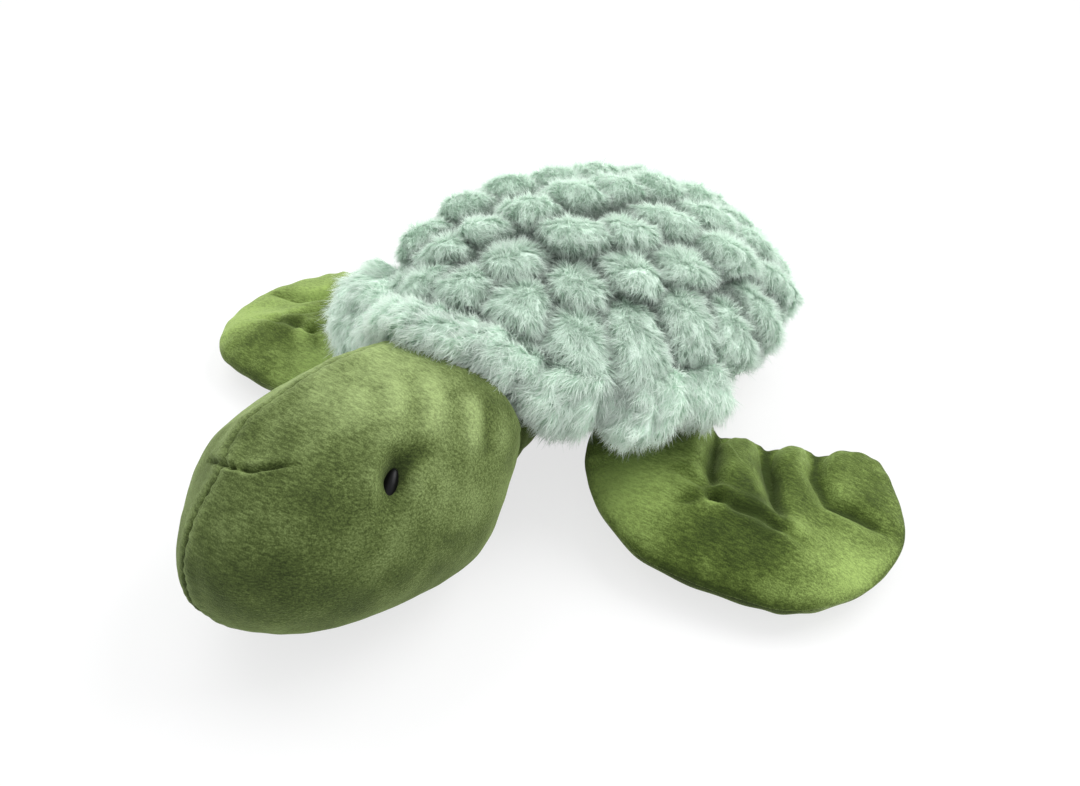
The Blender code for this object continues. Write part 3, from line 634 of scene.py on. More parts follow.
def makeBrimSkin():
    sewn, free = brimEdge(brim["sewn"]), brimEdge(brim["free"])
    place = np.linspace(-8, 8, len(sewn))  # which named point of the tables, left side positive
    kept = (place > -brim["rightEnd"] - 0.19) & (place < brim["leftEnd"] + 0.19)
    sewn, free, place = sewn[kept], free[kept], place[kept]
    count, sides = len(sewn), brim["sides"]
    run = np.gradient(sewn, axis=0)
    across = free - sewn
    out = unit(np.cross(run, across))
    middle = (sewn + free) / 2
    flip = (out * (middle - (0, 0, shell["midHeight"]))).sum(1) < 0
    out[flip] *= -1
    reach, swell = np.zeros(count), np.zeros(count)
    for table, side, sign, spread in (("lobes", 1, 1, 1.0), ("notches", 1, -1, 1.2),
                                      ("rightLobes", -1, 1, 1.0), ("rightNotches", -1, -1, 1.2)):
        for where, size, width in brim[table]:
            reach += sign * size * bump(place - side * where, width)
            swell += sign * size * brim["swellShare"] * bump(place - side * where, width * spread)
    swell += 0.0012 * np.sin(place * 7.3) + 0.001 * np.sin(place * 12.1 + 1)
    front = smooth(1.6 - np.abs(place) / 2.6)
    thick = brim["thick"] + (brim["frontThick"] - brim["thick"]) * front
    long = unit(across)
    sewn = sewn - out * brim["tuck"] - np.outer(front, (0, 0, brim["frontDrop"]))
    free = free - np.outer(front, (0, 0, brim["frontDrop"] * 0.7))
    across = free - sewn
    endShare = smooth((brim["leftEnd"] - place) / 1.1 + 0.2)
    endShare *= smooth((place + brim["rightEnd"]) / 1.1 + 0.2)
    closing = (1 - endShare)[:, None]
    sewn = sewn + across * brim["endPull"][0] * closing - out * (brim["endSink"][0] * closing)
    free = free - across * brim["endPull"][1] * closing - out * (brim["endSink"][1] * closing)
    across = free - sewn
    middle = (sewn + free) / 2
    points, way, cover, tone = [], [], [], []
    for side in range(sides):
        turn = math.tau * side / sides
        half = (thick + np.clip(swell, -0.004, 0.02)) * endShare
        tip = np.clip(math.cos(turn), 0, 1)
        point = middle + out * (half * brim["tipShare"])[:, None]
        over = math.copysign(abs(math.cos(turn)) ** 0.8, math.cos(turn))
        up = math.copysign(abs(math.sin(turn)) ** 0.85, math.sin(turn))
        point = point + across / 2 * over * 0.95 + out * (half * up)[:, None]
        point = point + long * (reach * tip - 0.004 * tip)[:, None]
        points.append(point)
        fall = long * max(0.55 + 0.65 * math.sin(turn), 0.3)
        way.append(unit(fall + out * (0.30 * math.sin(turn) + 0.10) + long * tip * 0.5
                        - out * 0.35 * max(math.cos(turn), 0)))
        cover.append(np.full(count, 1.0 if math.sin(turn) > -0.5 or tip > 0.6 else 0.45))
        # painted light and shade on the brim's strands and ground: lighter over the right side, the left end
        # and the swells, darker in between
        ends = smooth((-place - 0.5) / 2.5) + smooth((place - 4.4) / 1.6)
        tone.append(np.clip(0.78 + 0.34 * ends + 0.3 * swell / 0.006, 0.1, 1))
    points, way = np.concatenate(points), np.concatenate(way)
    cover, tone = np.concatenate(cover), np.concatenate(tone)
    lumps = softNoise(points, 0.018, 41) + 0.6 * softNoise(points, 0.0085, 42)
    points += np.tile(out, (sides, 1)) * (brim["lumps"] * lumps)[:, None]
    # painted light on the raised lumps and painted shade between them
    tone = np.clip(tone + 0.50 * lumps, 0, 1)
    faces = []
    for side in range(sides):
        after = (side + 1) % sides
        for index in range(count - 1):
            faces.append((side * count + index, side * count + index + 1,
                          after * count + index + 1, after * count + index))
    for end in (0, count - 1):
        ring = [side * count + end for side in range(sides)]
        faces.append(tuple(ring))
    skinNormal = normalsOf(points, faces)
    skinNormal[(skinNormal * (points - np.tile(middle, (sides, 1)))).sum(1) < 0] *= -1
    way = liftedOff(way, skinNormal, brim["leastLift"])
    return addPiece("brimSkin", points, faces, shellBacking, (
        ("strandWay", way), ("strandCover", cover), ("strandToneAndShade", tone),
        ("strandReach", np.ones(len(points)))))


brimSkin = makeBrimSkin()


belly = {
    "inset": 0.008, "overlap": 0.004, "frontEnd": -0.1640, "restHeight": 0.0003,
    "pleatDepth": 0.0012, "pleats": 46, "seamDepth": 0.0015, "seamWidth": 0.0035,
}


def makeBellySkin():
    units, faces = ballGrid(6)
    ux, uy, uz = units.T
    size = np.array([shell["halfWidth"] - belly["inset"], shell["halfLength"] - belly["inset"],
                     shell["midHeight"]])
    points = units * size
    points[:, 2] += shell["midHeight"] - lean(points[:, 1], uz)
    top = shell["midHeight"] - shell["rimDrop"] + belly["overlap"] - shell["slope"] * points[:, 1]
    seam = bump(points[:, 0], belly["seamWidth"]) * smooth((0.02 - points[:, 2]) / 0.02)
    angle = np.arctan2(uy, ux)
    pleat = np.sin(angle * belly["pleats"] + 2 * np.sin(angle * 5)) * bump(points[:, 2] - top, 0.018)
    points[:, :2] *= (1 + belly["pleatDepth"] * pleat / 0.14)[:, None]
    points[:, 2] = np.minimum(points[:, 2], top)
    points[:, 2] = np.maximum(points[:, 2], belly["restHeight"]) + seam * belly["seamDepth"]
    points[:, 1] = np.maximum(points[:, 1], belly["frontEnd"])
    return addPiece("bellySkin", points, faces, shadedUnderVelboa,
                    (("napAndShade", softNoise(points, 0.035, 3) * 0.6 - seam),))


bellySkin = makeBellySkin()
print("turtle: brim and belly skins")


# head

head = {
    "halfSize": (0.0855, 0.1155, 0.0690), "reach": 0.0895, "neck": (0, -0.175, 0.068),
    "yaw": -6, "roll": -18, "blunt": 2.12,
    "ridge": 0.004, "ridgeWidth": 0.016,
    "rows": 84, "columns": 340,
    "seamDepth": 0.0016, "seamWidth": 0.0015, "puckerPitch": 0.0078, "lowSeam": -0.014,
    "eyeForward": 0.22, "eyeUp": 0.41, "eyeLean": (-0.19, 0.79, 0.58),
    "dimple": 0.0098, "dimpleWidth": 0.0088, "dimpleLength": 0.0200,
    "rear": -0.1835, "cheekHollow": (0.078, -0.205, 0.045),
    "napAndLightPatches": (  # patches of paler and deeper nap; most are painted light and shade: paler on the top, the back and the cheek, deeper at the front
        ((0.066, 0.030, 0.038), 0.034, 1.0), ((0.020, 0.030, 0.066), 0.038, 0.9),
        ((-0.010, -0.100, -0.020), 0.045, -0.9), ((0.082, -0.005, -0.010), 0.024, 0.7),
        ((0.030, -0.085, 0.010), 0.032, -0.4), ((0.045, -0.040, 0.050), 0.020, -0.3)),
    "fuller": (((0.0605, 0.0200, -0.0470), 0.036, 0.0065), ((-0.036, -0.097, 0.022), 0.034, -0.0065)),
    "seamShift": ((-0.125, 0.0), (-0.112, 0.0045), (-0.103, 0.0045), (-0.093, 0.0046),
                  (-0.083, 0.0074), (-0.0757, 0.0080), (-0.0676, 0.001), (-0.050, -0.004),
                  (-0.0346, -0.0023), (0.0, 0.0)),  # how far the top seam wanders, by y
    "creases": (  # path in the head's frame, depth, width, fades at start, fades at end
        (((0.0083, -0.0757, 0.0553), (0.0244, -0.0703, 0.0529), (0.0354, -0.0616, 0.0522),
          (0.0466, -0.0520, 0.0498)), 0.0040, 0.0014, 0.0, 0.4),
        (((0.0083, -0.0757, 0.0553), (-0.0042, -0.0754, 0.0563), (-0.0264, -0.0704, 0.0521)),
         0.0044, 0.0015, 0.0, 0.25),
        (((0.0715, -0.0230, 0.0300), (0.0700, -0.0150, 0.0340), (0.0727, -0.0049, 0.0332),
          (0.0790, 0.0060, 0.0290)), 0.0055, 0.0062, 0.0, 0.75),
        (((0.0324, 0.0384, 0.0601), (0.0537, 0.0196, 0.0524), (0.0629, 0.0064, 0.0463),
          (0.0665, -0.0063, 0.0416)), 0.0017, 0.0056, 0.3, 0.3),
        (((0.0530, 0.0470, 0.0472), (0.0675, 0.0345, 0.0376), (0.0781, 0.0140, 0.0265)),
         0.0016, 0.0056, 0.3, 0.3),
        (((0.0300, 0.0150, 0.0640), (0.0480, 0.0000, 0.0560), (0.0570, -0.0120, 0.0490)),
         0.0011, 0.0055, 0.3, 0.4),
        (((0.0620, 0.0600, 0.0330), (0.0760, 0.0440, 0.0210), (0.0830, 0.0250, 0.0060)),
         0.0020, 0.0060, 0.3, 0.4),
    ),
}
headMiddle = Vector(head["neck"]) + Vector((0, -head["reach"], 0.0013))
headFrame = (Matrix.Translation(headMiddle) @ Matrix.Rotation(math.radians(head["yaw"]), 4, "Z")
             @ Matrix.Rotation(math.radians(head["roll"]), 4, "Y"))


def eyePlace(side):
    forward, up = head["eyeForward"], head["eyeUp"]
    out = math.sqrt(1 - forward ** 2 - up ** 2)
    size = Vector(head["halfSize"])
    place = Vector((side * size.x * out, -size.y * forward, size.z * up))
    away = Vector((place.x / size.x ** 2, place.y / size.y ** 2, place.z / size.z ** 2)).normalized()
    upward = Vector(head["eyeLean"]) * Vector((side, 1, 1))
    upward = (upward - away * upward.dot(away)).normalized()
    return np.array(place), np.array(away), np.array(upward), np.array(upward.cross(away))


def headGrid():  # rows run from the right cheek over the seam to the left cheek
    rows, columns = head["rows"], head["columns"]
    steps = np.linspace(-1, 1, 2 * rows + 1)[1:-1]
    high = np.sign(steps) * np.abs(steps) ** 1.3 * math.pi / 2
    turn = np.linspace(0, math.tau, columns, endpoint=False)
    high, turn = np.meshgrid(high, turn, indexing="ij")
    units = np.stack([np.sin(high), -np.cos(high) * np.cos(turn), np.cos(high) * np.sin(turn)], -1)
    ringCount = 2 * rows - 1
    units = np.concatenate([units.reshape(-1, 3), [(-1, 0, 0), (1, 0, 0)]])
    faces = ringFaces(ringCount, columns)
    last = ringCount * columns
    for column in range(columns):
        after = (column + 1) % columns
        faces.append((last, after, column))
        faces.append((last + 1, (ringCount - 1) * columns + column, (ringCount - 1) * columns + after))
    return units, faces


def shapeHead():
    units, faces = headGrid()
    ux, uy, uz = units.T
    power = head["blunt"]
    spread = np.hypot(ux, uz)
    wide = (1 - np.minimum(np.abs(uy), 1) ** power) ** (1 / power) / np.maximum(spread, 1e-6)
    wide = np.where(spread < 1e-6, 1, wide)
    size = np.array(head["halfSize"])
    points = np.stack([size[0] * ux * wide, size[1] * uy, size[2] * uz * wide], 1)
    points[:, 2] += head["ridge"] * bump(points[:, 0], head["ridgeWidth"]) * np.maximum(uz, 0)
    normal = normalsOf(points, faces)
    normal[(normal * points).sum(1) < 0] *= -1

    top = smooth(uz * 3 + 0.6)
    table = np.array(head["seamShift"])
    angle = np.arctan2(uz, -uy)
    shift = np.interp(points[:, 1], table[:, 0], table[:, 1]) * top
    shift = (shift + head["lowSeam"] * smooth((0.80 - angle) / 0.9)) * (1 - np.abs(ux)) ** 2
    push = np.zeros(len(points))
    napAndShade = np.zeros(len(points))

    fromSeam = np.abs(points[:, 0])
    along = angle * 0.095
    pucker = 0.5 + 0.5 * np.sin(math.tau * along / head["puckerPitch"] + 1.6 * np.sin(angle * 9))
    ragged = smooth(0.55 + 0.9 * np.sin(angle * 23 + 2 * np.sin(angle * 7)) * np.sin(angle * 11 + 1))
    faint = 0.35 + 0.65 * ragged * smooth((0.75 - angle) / 0.3 + 0.35)
    push -= head["seamDepth"] * (0.35 + 0.65 * pucker) * faint * bump(fromSeam, head["seamWidth"])
    push += 0.0007 * bump(fromSeam - 0.0060, 0.0045) * (0.6 + 0.4 * pucker)
    push -= 0.0006 * (pucker - 0.5) * bump(fromSeam - 0.006, 0.006)
    napAndShade -= (1.5 * faint * bump(fromSeam, 0.0010) * (0.25 + 0.75 * pucker)
            - 0.3 * bump(fromSeam - 0.005, 0.004))

    for path, depth, width, fadeIn, fadeOut in head["creases"]:
        far, share = nearPath(points, path)
        fade = smooth(share / fadeIn) if fadeIn else 1.0
        fade = fade * smooth((1 - share) / fadeOut) if fadeOut else fade
        wander = far + 0.0003 * np.sin(share * 19)
        push -= depth * fade * bump(wander, width)
        push += depth * 0.35 * fade * bump(far - width * 2.1, width * 1.3)
        # painted shade along each crease, where the darts also keep their dark sewn line, and a painted
        # highlight on the ridges beside it
        napAndShade -= 0.9 * fade * bump(far, width * 0.8) * min(depth / 0.003, 1.2)
        napAndShade += (0.6 if width > 0.003 else 0.35) * fade * bump(far - width * 2.0, width)

    for side in (-1, 1):
        place, away, upward, sideways = eyePlace(side)
        gap = points - place
        near = smooth(1 - np.linalg.norm(gap, axis=1) / 0.06)
        far = np.hypot(gap @ sideways / head["dimpleWidth"], gap @ upward / head["dimpleLength"])
        points -= away * (head["dimple"] * bump(far, 1.0) * near)[:, None]
        # painted shade in the eye's dimple
        napAndShade -= 1.5 * bump(far, 0.75) * near
        push += 0.0020 * bump(far - 1.35, 0.45) * near * (0.6 - 0.4 * np.sign(side * (gap @ sideways)))

    for place, size, amount in head["fuller"]:
        push += amount * bump(np.linalg.norm(points - place, axis=1), size)
    push += 0.0011 * softNoise(points, 0.030, 1) + 0.0005 * softNoise(points, 0.011, 2)
    points += normal * push[:, None]
    points[:, 0] += shift
    for place, size, amount in head["napAndLightPatches"]:
        napAndShade += amount * bump(np.linalg.norm(points - place, axis=1), size)
    # random patches of nap, with painted light on the head's top and painted shade underneath
    napAndShade += (0.55 * softNoise(points, 0.045, 4) + 0.5 * softNoise(points, 0.014, 8)
            + 1.2 * smooth((uz - 0.45) * 1.6) - 0.5 * smooth(-uz * 1.2))

    world = turnedBy(headFrame, points)
    hollow = bump(np.linalg.norm(world - head["cheekHollow"], axis=1), 0.036)
    world[:, 0] -= 0.009 * hollow
    low = world[:, 2] < 0.004  # it rests on the floor
    world[:, 2] = np.where(low, 0.004 * np.exp((world[:, 2] - 0.004) / 0.004), world[:, 2])
    back = head["rear"] - 0.012
    past = world[:, 1] > back
    room = head["rear"] - back
    world[:, 1] = np.where(past, back + room * (1 - np.exp(-(world[:, 1] - back) / room)), world[:, 1])
    return world, faces, napAndShade


def makeHeadHalves():
    world, faces, napAndShade = shapeHead()
    rows, columns = head["rows"], head["columns"]
    seamStart = (rows - 1) * columns  # the middle ring is the seam
    halves = []
    poles = (len(world) - 2, len(world) - 1)
    for label in ("Right", "Left"):
        chosen = []
        for face in faces:
            body = [v for v in face if v not in poles]
            if label == "Right" and max(body) < seamStart + columns and poles[1] not in face:
                chosen.append(face)
            if label == "Left" and min(body) >= seamStart and poles[0] not in face:
                chosen.append(face)
        used = sorted({v for face in chosen for v in face})
        new = {old: index for index, old in enumerate(used)}
        points = world[used]
        seamRing = [new[seamStart + column] for column in range(columns)]
        middle = len(used)
        points = np.concatenate([points, [points[seamRing].mean(0)]])
        chosen = [tuple(new[v] for v in face) for face in chosen]
        chosen += [(middle, seamRing[k], seamRing[(k + 1) % columns]) for k in range(columns)]
        halves.append(addPiece("headCloth" + label, points, chosen, headVelboa,
                               (("napAndShade", np.append(napAndShade[used], -1.0)),)))
    return halves


headRight, headLeft = makeHeadHalves()
print("turtle: head halves", len(headLeft.data.polygons))

neckSleeve = {
    "start": -0.140, "end": -0.234, "halfWidth": 0.056, "halfHeight": 0.049, "height": 0.0665,
    "rings": 60, "sides": 140, "folds": 4,
}


def makeNeck():
    rings, sides = neckSleeve["rings"], neckSleeve["sides"]
    points, napAndShade = [], []
    for ring in range(rings + 1):
        share = ring / rings
        y = neckSleeve["start"] + (neckSleeve["end"] - neckSleeve["start"]) * share
        turn = np.linspace(0, math.tau, sides, endpoint=False)
        fold = np.sin(share * math.tau * neckSleeve["folds"] + 1.3 * np.sin(turn * 3))
        fold = fold * (0.4 + 0.6 * np.abs(np.sin(turn * 2.5 + 1)))
        swell = 1 + 0.016 * fold - 0.06 * math.cos(share * math.pi) ** 2
        x = neckSleeve["halfWidth"] * swell * np.cos(turn)
        z = neckSleeve["height"] + neckSleeve["halfHeight"] * swell * np.sin(turn)
        points.append(np.stack([x, np.full(sides, y), z], 1))
        # painted light and shade on the folds, and painted shade all over, as the sleeve lies under the brim
        napAndShade.append(fold * 0.35 - 0.3)
    points, napAndShade = np.concatenate(points), np.concatenate(napAndShade)
    faces = ringFaces(rings + 1, sides)
    ends = []
    for ring in (0, rings):
        ends.append(points[ring * sides:(ring + 1) * sides].mean(0))
        centre = len(points) + len(ends) - 1
        for side in range(sides):
            faces.append((centre, ring * sides + side, ring * sides + (side + 1) % sides))
    points = np.concatenate([points, ends])
    return addPiece("neckSleeve", points, faces, headVelboa, (("napAndShade", np.append(napAndShade, [0, 0])),))


neckCloth = makeNeck()


eyeBall = {
    "halfWidth": 0.0040, "halfHeight": 0.0104, "front": 0.0040, "back": 0.0022,
    "sunk": 1.08,  # share of the dimple's depth
    "steps": 40, "rings": 16,
}


def makeEye(side, label):
    place, away, upward, sideways = eyePlace(side)
    middle = place - away * head["dimple"] * eyeBall["sunk"]
    steps, rings = eyeBall["steps"], eyeBall["rings"]
    points = []
    for ring in range(rings + 1):
        fall = math.pi * ring / rings
        for step in range(steps):
            turn = math.tau * step / steps
            rise = eyeBall["front"] if fall < math.pi / 2 else eyeBall["back"]
            points.append(middle + sideways * eyeBall["halfWidth"] * math.sin(fall) * math.cos(turn)
                          + upward * eyeBall["halfHeight"] * math.sin(fall) * math.sin(turn)
                          + away * rise * math.cos(fall))
    eye = addPiece("eye" + label, turnedBy(headFrame, np.array(points)),
                   ringFaces(rings + 1, steps), eyePlastic)
    grid = bmesh.new()
    grid.from_mesh(eye.data)
    bmesh.ops.remove_doubles(grid, verts=grid.verts, dist=0.00002)
    bmesh.ops.recalc_face_normals(grid, faces=grid.faces)
    grid.to_mesh(eye.data)
    grid.free()
    eye.data.shade_smooth()
    return eye


eyeLeft, eyeRight = makeEye(1, "Left"), makeEye(-1, "Right")
print("turtle: neck and eyes")


# flippers and tail

frontFlipper = {
    "length": 0.190, "width": 0.194, "halfThickness": 0.0225, "tipDrop": 0.008, "rootHeight": 0.028,
    "power": 2.4, "middle": (0.50, 0.08), "steps": 14, "rings": 60, "lobeDrop": 0.45,
    "outline": ((-0.042, -0.20), (0.05, -0.285), (0.15, -0.335), (0.315, -0.377), (0.54, -0.368),
                (0.717, -0.279), (0.857, -0.168), (0.938, -0.085), (0.980, 0.03), (0.984, 0.20),
                (0.915, 0.375), (0.815, 0.485), (0.64, 0.58), (0.53, 0.61), (0.458, 0.565),
                (0.43, 0.48), (0.415, 0.437), (0.385, 0.43), (0.353, 0.405), (0.325, 0.335),
                (0.314, 0.295), (0.28, 0.29), (0.242, 0.263), (0.198, 0.212), (0.18, 0.185),
                (0.12, 0.192), (0.04, 0.195), (-0.042, 0.16), (-0.042, 0.04), (-0.042, -0.08)),
    "grooves": (  # path, how deep
        (((0.18, 0.185), (0.26, 0.11), (0.40, 0.0), (0.53, -0.075)), 0.0085),
        (((0.314, 0.295), (0.42, 0.215), (0.58, 0.125), (0.72, 0.06)), 0.0085),
        (((0.415, 0.437), (0.53, 0.335), (0.66, 0.295), (0.75, 0.35), (0.87, 0.40)), 0.0080),
    ),
    "folds": (  # small pulled folds round the groove's end
        (((0.53, -0.075), (0.49, -0.16), (0.43, -0.25)), 0.0018),
        (((0.53, -0.075), (0.60, -0.035), (0.68, 0.02), (0.76, 0.055), (0.88, 0.10)), 0.0034),
        (((0.53, -0.075), (0.45, -0.085), (0.36, -0.115), (0.33, -0.17)), 0.0026),
        (((0.72, 0.06), (0.70, 0.00), (0.66, -0.07)), 0.0012),
    ),
    # patches of paler and deeper nap, partly painted light and shade: painted highlights on the tip and on
    # small spots by the pulled folds, painted shade at the root under the brim
    "napAndLightPatches": (((0.32, -0.26), 0.044, 2.7), ((0.94, 0.12), 0.034, 2.1), ((0.64, -0.08), 0.042, -1.5),
               ((0.10, 0.02), 0.030, -1.2),
               ((0.55, -0.10), 0.008, 1.6), ((0.75, 0.10), 0.010, 1.2), ((0.62, 0.36), 0.014, 1.0),
               ((0.50, 0.20), 0.018, -0.5)),
}
rearFlipper = {
    "length": 0.082, "width": 0.062, "halfThickness": 0.0125, "tipDrop": 0.006, "rootHeight": 0.019,
    "power": 2.4, "middle": (0.50, 0.0), "steps": 14, "rings": 30, "lobeDrop": 0.0,
    "outline": ((-0.098, -0.30), (0.15, -0.42), (0.42, -0.50), (0.72, -0.46), (0.93, -0.28),
                (1.00, 0.00), (0.95, 0.26), (0.78, 0.44), (0.50, 0.50), (0.20, 0.42),
                (-0.098, 0.30), (-0.098, 0.00)),
    "grooves": (), "folds": (), "napAndLightPatches": (),
}
turtleTail = {
    "length": 0.048, "width": 0.034, "halfThickness": 0.009, "tipDrop": 0.006, "rootHeight": 0.025,
    "power": 2.4, "middle": (0.30, 0.0), "steps": 12, "rings": 24, "lobeDrop": 0.0,
    "outline": ((-0.167, -0.42), (0.15, -0.50), (0.45, -0.40), (0.75, -0.22), (0.96, -0.08),
                (1.00, 0.00), (0.96, 0.08), (0.75, 0.22), (0.45, 0.40), (0.15, 0.50),
                (-0.167, 0.42), (-0.167, 0.00)),
    "grooves": (), "folds": (), "napAndLightPatches": (),
}
limbCloth = {
    "rootRadius": 0.008,
    "edgeFold": 0.0006,  # how deep the sewn rim puckers
    "deepest": 0.72,  # a groove takes no more than this share of the thickness
    "least": 0.0002, "rimAt": 0.999,
    "floorGap": 0.0004, "innerGap": 0.0006,
}


def limbFrame(jointName, side):  # root seam along Y, tip at +X; side -1 is the mirrored one
    joint = next(j for j in frame["joints"] if j["name"] == jointName)
    seam = -side * Vector(joint["axis"])
    outward = seam.cross(Vector((0, 0, 1))) * side
    turn = Matrix((outward, seam, Vector((0, 0, 1)))).transposed().to_4x4()
    return Matrix.Translation(Vector(joint["pos_m"])) @ turn


def makeLimb(name, limb, jointName, side=1, share=1.0, napAndLightBase=0.0, seed=5):
    base = limbFrame(jointName, side)
    length, width = limb["length"] * share, limb["width"] * share
    rim = smoothCurve(np.array(limb["outline"]) * (length, width), limb["steps"], closed=True)
    rim[:, 0] = np.maximum(rim[:, 0], -limbCloth["rootRadius"])
    middle = np.array(limb["middle"]) * (length, width)
    rings, count = limb["rings"], len(rim)
    spread = np.sin(math.pi / 2 * np.arange(1, rings + 1) / rings)
    flat = middle + (rim - middle)[None] * spread[:, None, None]
    flat = np.concatenate([[middle], flat.reshape(-1, 2)])
    toRim = np.concatenate([[0.0], np.repeat(spread, count)])
    rise = limb["halfThickness"] * np.sqrt(np.maximum(1 - toRim ** limb["power"], 0))
    rise = rise * (1 - limb["lobeDrop"] * smooth(flat[:, 1] / width / 0.26))
    bed, pinched = np.zeros(len(flat)), np.zeros(len(flat))
    napAndShade = np.full(len(flat), napAndLightBase)
    fromRim = nearPath(flat, np.concatenate([rim, rim[:1]]))[0]
    around = np.concatenate([[0.0], np.tile(np.arange(count), rings)]) / count
    for path, depth in limb["grooves"]:
        far, along = nearPath(flat, np.array(path) * (length, width))
        wander = far + 0.0003 * np.sin(along * 14 + seed)
        fade = smooth((1 - along) / 0.45 + 0.12)
        bed += fade * (depth * bump(wander, 0.0072) + 0.0045 * bump(wander, 0.0030))
        bed -= fade * 0.0014 * bump(far - 0.0130, 0.0070) * rise / limb["halfThickness"]
        # painted shade in each groove and a painted highlight on the ridges beside it
        napAndShade -= fade * (1.5 * bump(wander, 0.003) + 0.35 * bump(wander, 0.010))
        napAndShade += 0.6 * fade * bump(far - 0.008, 0.005)
        pinched = np.maximum(pinched, bump(far, 0.016))
    for path, depth in limb["folds"]:
        far, along = nearPath(flat, np.array(path) * (length, width))
        fade = smooth((1 - along) / 0.6)
        bed += fade * depth * (bump(far, 0.0035) - 0.5 * bump(far - 0.008, 0.004))
        # painted shade in the folds
        napAndShade -= 0.6 * fade * bump(far, 0.003)
    for place, size, amount in limb["napAndLightPatches"]:
        napAndShade += amount * bump(np.linalg.norm(flat - np.array(place) * (length, width), axis=1), size)
    edgeFold = np.sin(around * math.tau * 37 + 3 * np.sin(around * 17)) * bump(fromRim - 0.004, 0.007)
    drop = -limb["tipDrop"] * np.maximum(flat[:, 0], 0) / length
    surfaces = []
    for face in (1, -1):
        depth = bed * (1.0 if face > 0 else 0.6)
        high = rise - np.minimum(depth, rise * limbCloth["deepest"])
        high += limbCloth["edgeFold"] * edgeFold * (1 - pinched) * (toRim < limbCloth["rimAt"])
        high += rise / limb["halfThickness"] * 0.0010 * softNoise(
            np.column_stack([flat, np.full(len(flat), face * 0.05)]), 0.022, seed + face)
        z = drop + face * np.maximum(high, limbCloth["least"] * (toRim < limbCloth["rimAt"]))
        points = np.column_stack([flat, z])
        points = turnedBy(base, points)
        points[:, 2] = np.maximum(points[:, 2], limbCloth["floorGap"])
        surfaces.append(points)
    pieces = []
    for face, label in ((0, "Top"), (1, "Bottom")):
        outer = surfaces[face]
        inner = np.column_stack([flat, drop])
        inner = turnedBy(base, inner)
        inner[:, 2] = np.maximum(inner[:, 2], limbCloth["innerGap"])
        points = np.concatenate([outer, [inner[0]]])
        faces = []
        for spoke in range(count):
            after = (spoke + 1) % count
            faces.append((0, 1 + spoke, 1 + after))
            faces.append((len(outer), 1 + (rings - 1) * count + after, 1 + (rings - 1) * count + spoke))
            for ring in range(rings - 1):
                a, b = 1 + ring * count, 1 + (ring + 1) * count
                faces.append((a + spoke, b + spoke, b + after, a + after))
        spots = np.column_stack([flat, np.full(len(flat), 0.3 * face)])
        lie = napAndShade + 0.6 * softNoise(spots, 0.030, seed + 2) + 0.5 * softNoise(spots, 0.012, seed + 4)
        lie = lie - 0.9 * bump(fromRim, 0.0015) + 0.35 * bump(fromRim - 0.006, 0.005)
        pieces.append(addPiece(name + label, points, faces,
                               flipperVelboa if face == 0 else shadedUnderVelboa,
                               (("napAndShade", np.append(lie, -1.0)),)))
    return pieces


limbs = {}
# the last number but one sets each limb's nap all over; the right front flipper's 1.1 paints it paler all
# over: painted light
for name, limb, joint, body, side, share, napAndLightBase, seed in (
    ("frontFlipperLeft", frontFlipper, "front_flipper_flap_left", "front_flipper_left", 1, 1.0, 0.15, 5),
    ("frontFlipperRight", frontFlipper, "front_flipper_flap_right", "front_flipper_right", -1, 0.945, 1.1, 9),
    ("rearFlipperLeft", rearFlipper, "rear_flipper_flap_left", "rear_flipper_left", 1, 1.0, 0.2, 12),
    ("rearFlipperRight", rearFlipper, "rear_flipper_flap_right", "rear_flipper_right", -1, 1.0, 0.2, 15),
    ("tail", turtleTail, "tail_lift", "tail", 1, 1.0, 0.0, 18),
):
    limbs[body] = makeLimb(name, limb, joint, side, share, napAndLightBase, seed)
print("turtle: limbs", ", ".join(limbs))


# fur strands

coat = {
    "gather": 0.55,  # how far the tips of one lock close up
    "bends": ((0.12, 2.5), (0.04, -7.0), (0.20, -1.5), (0.28, 7.0)),  # bend and curl of each kind
    "cloudSize": 0.0085,
    "mottleScale": 160.0,
    "quick": 0.25,  # share of the strands while trying things
    "shellStrands": (  # name, strands per square metre, length, width, scatter, seed
        ("shellFurDeep", 365000, 0.0080, 0.00044, 0.20, 11),
        ("shellFurMid", 365000, 0.0095, 0.00038, 0.20, 23),
        ("shellFurTop", 365000, 0.0108, 0.00030, 0.22, 37),
        ("shellFurFine", 330000, 0.0112, 0.00024, 0.26, 43),
        ("shellFurStray", 120000, 0.0130, 0.00020, 0.50, 53),
    ),
    "brimStrands": (
        ("brimFurDeep", 460000, 0.0095, 0.00044, 0.20, 71),
        ("brimFurTop", 460000, 0.0118, 0.00034, 0.24, 83),
        ("brimFurStray", 170000, 0.0145, 0.00022, 0.45, 97),
    ),
}


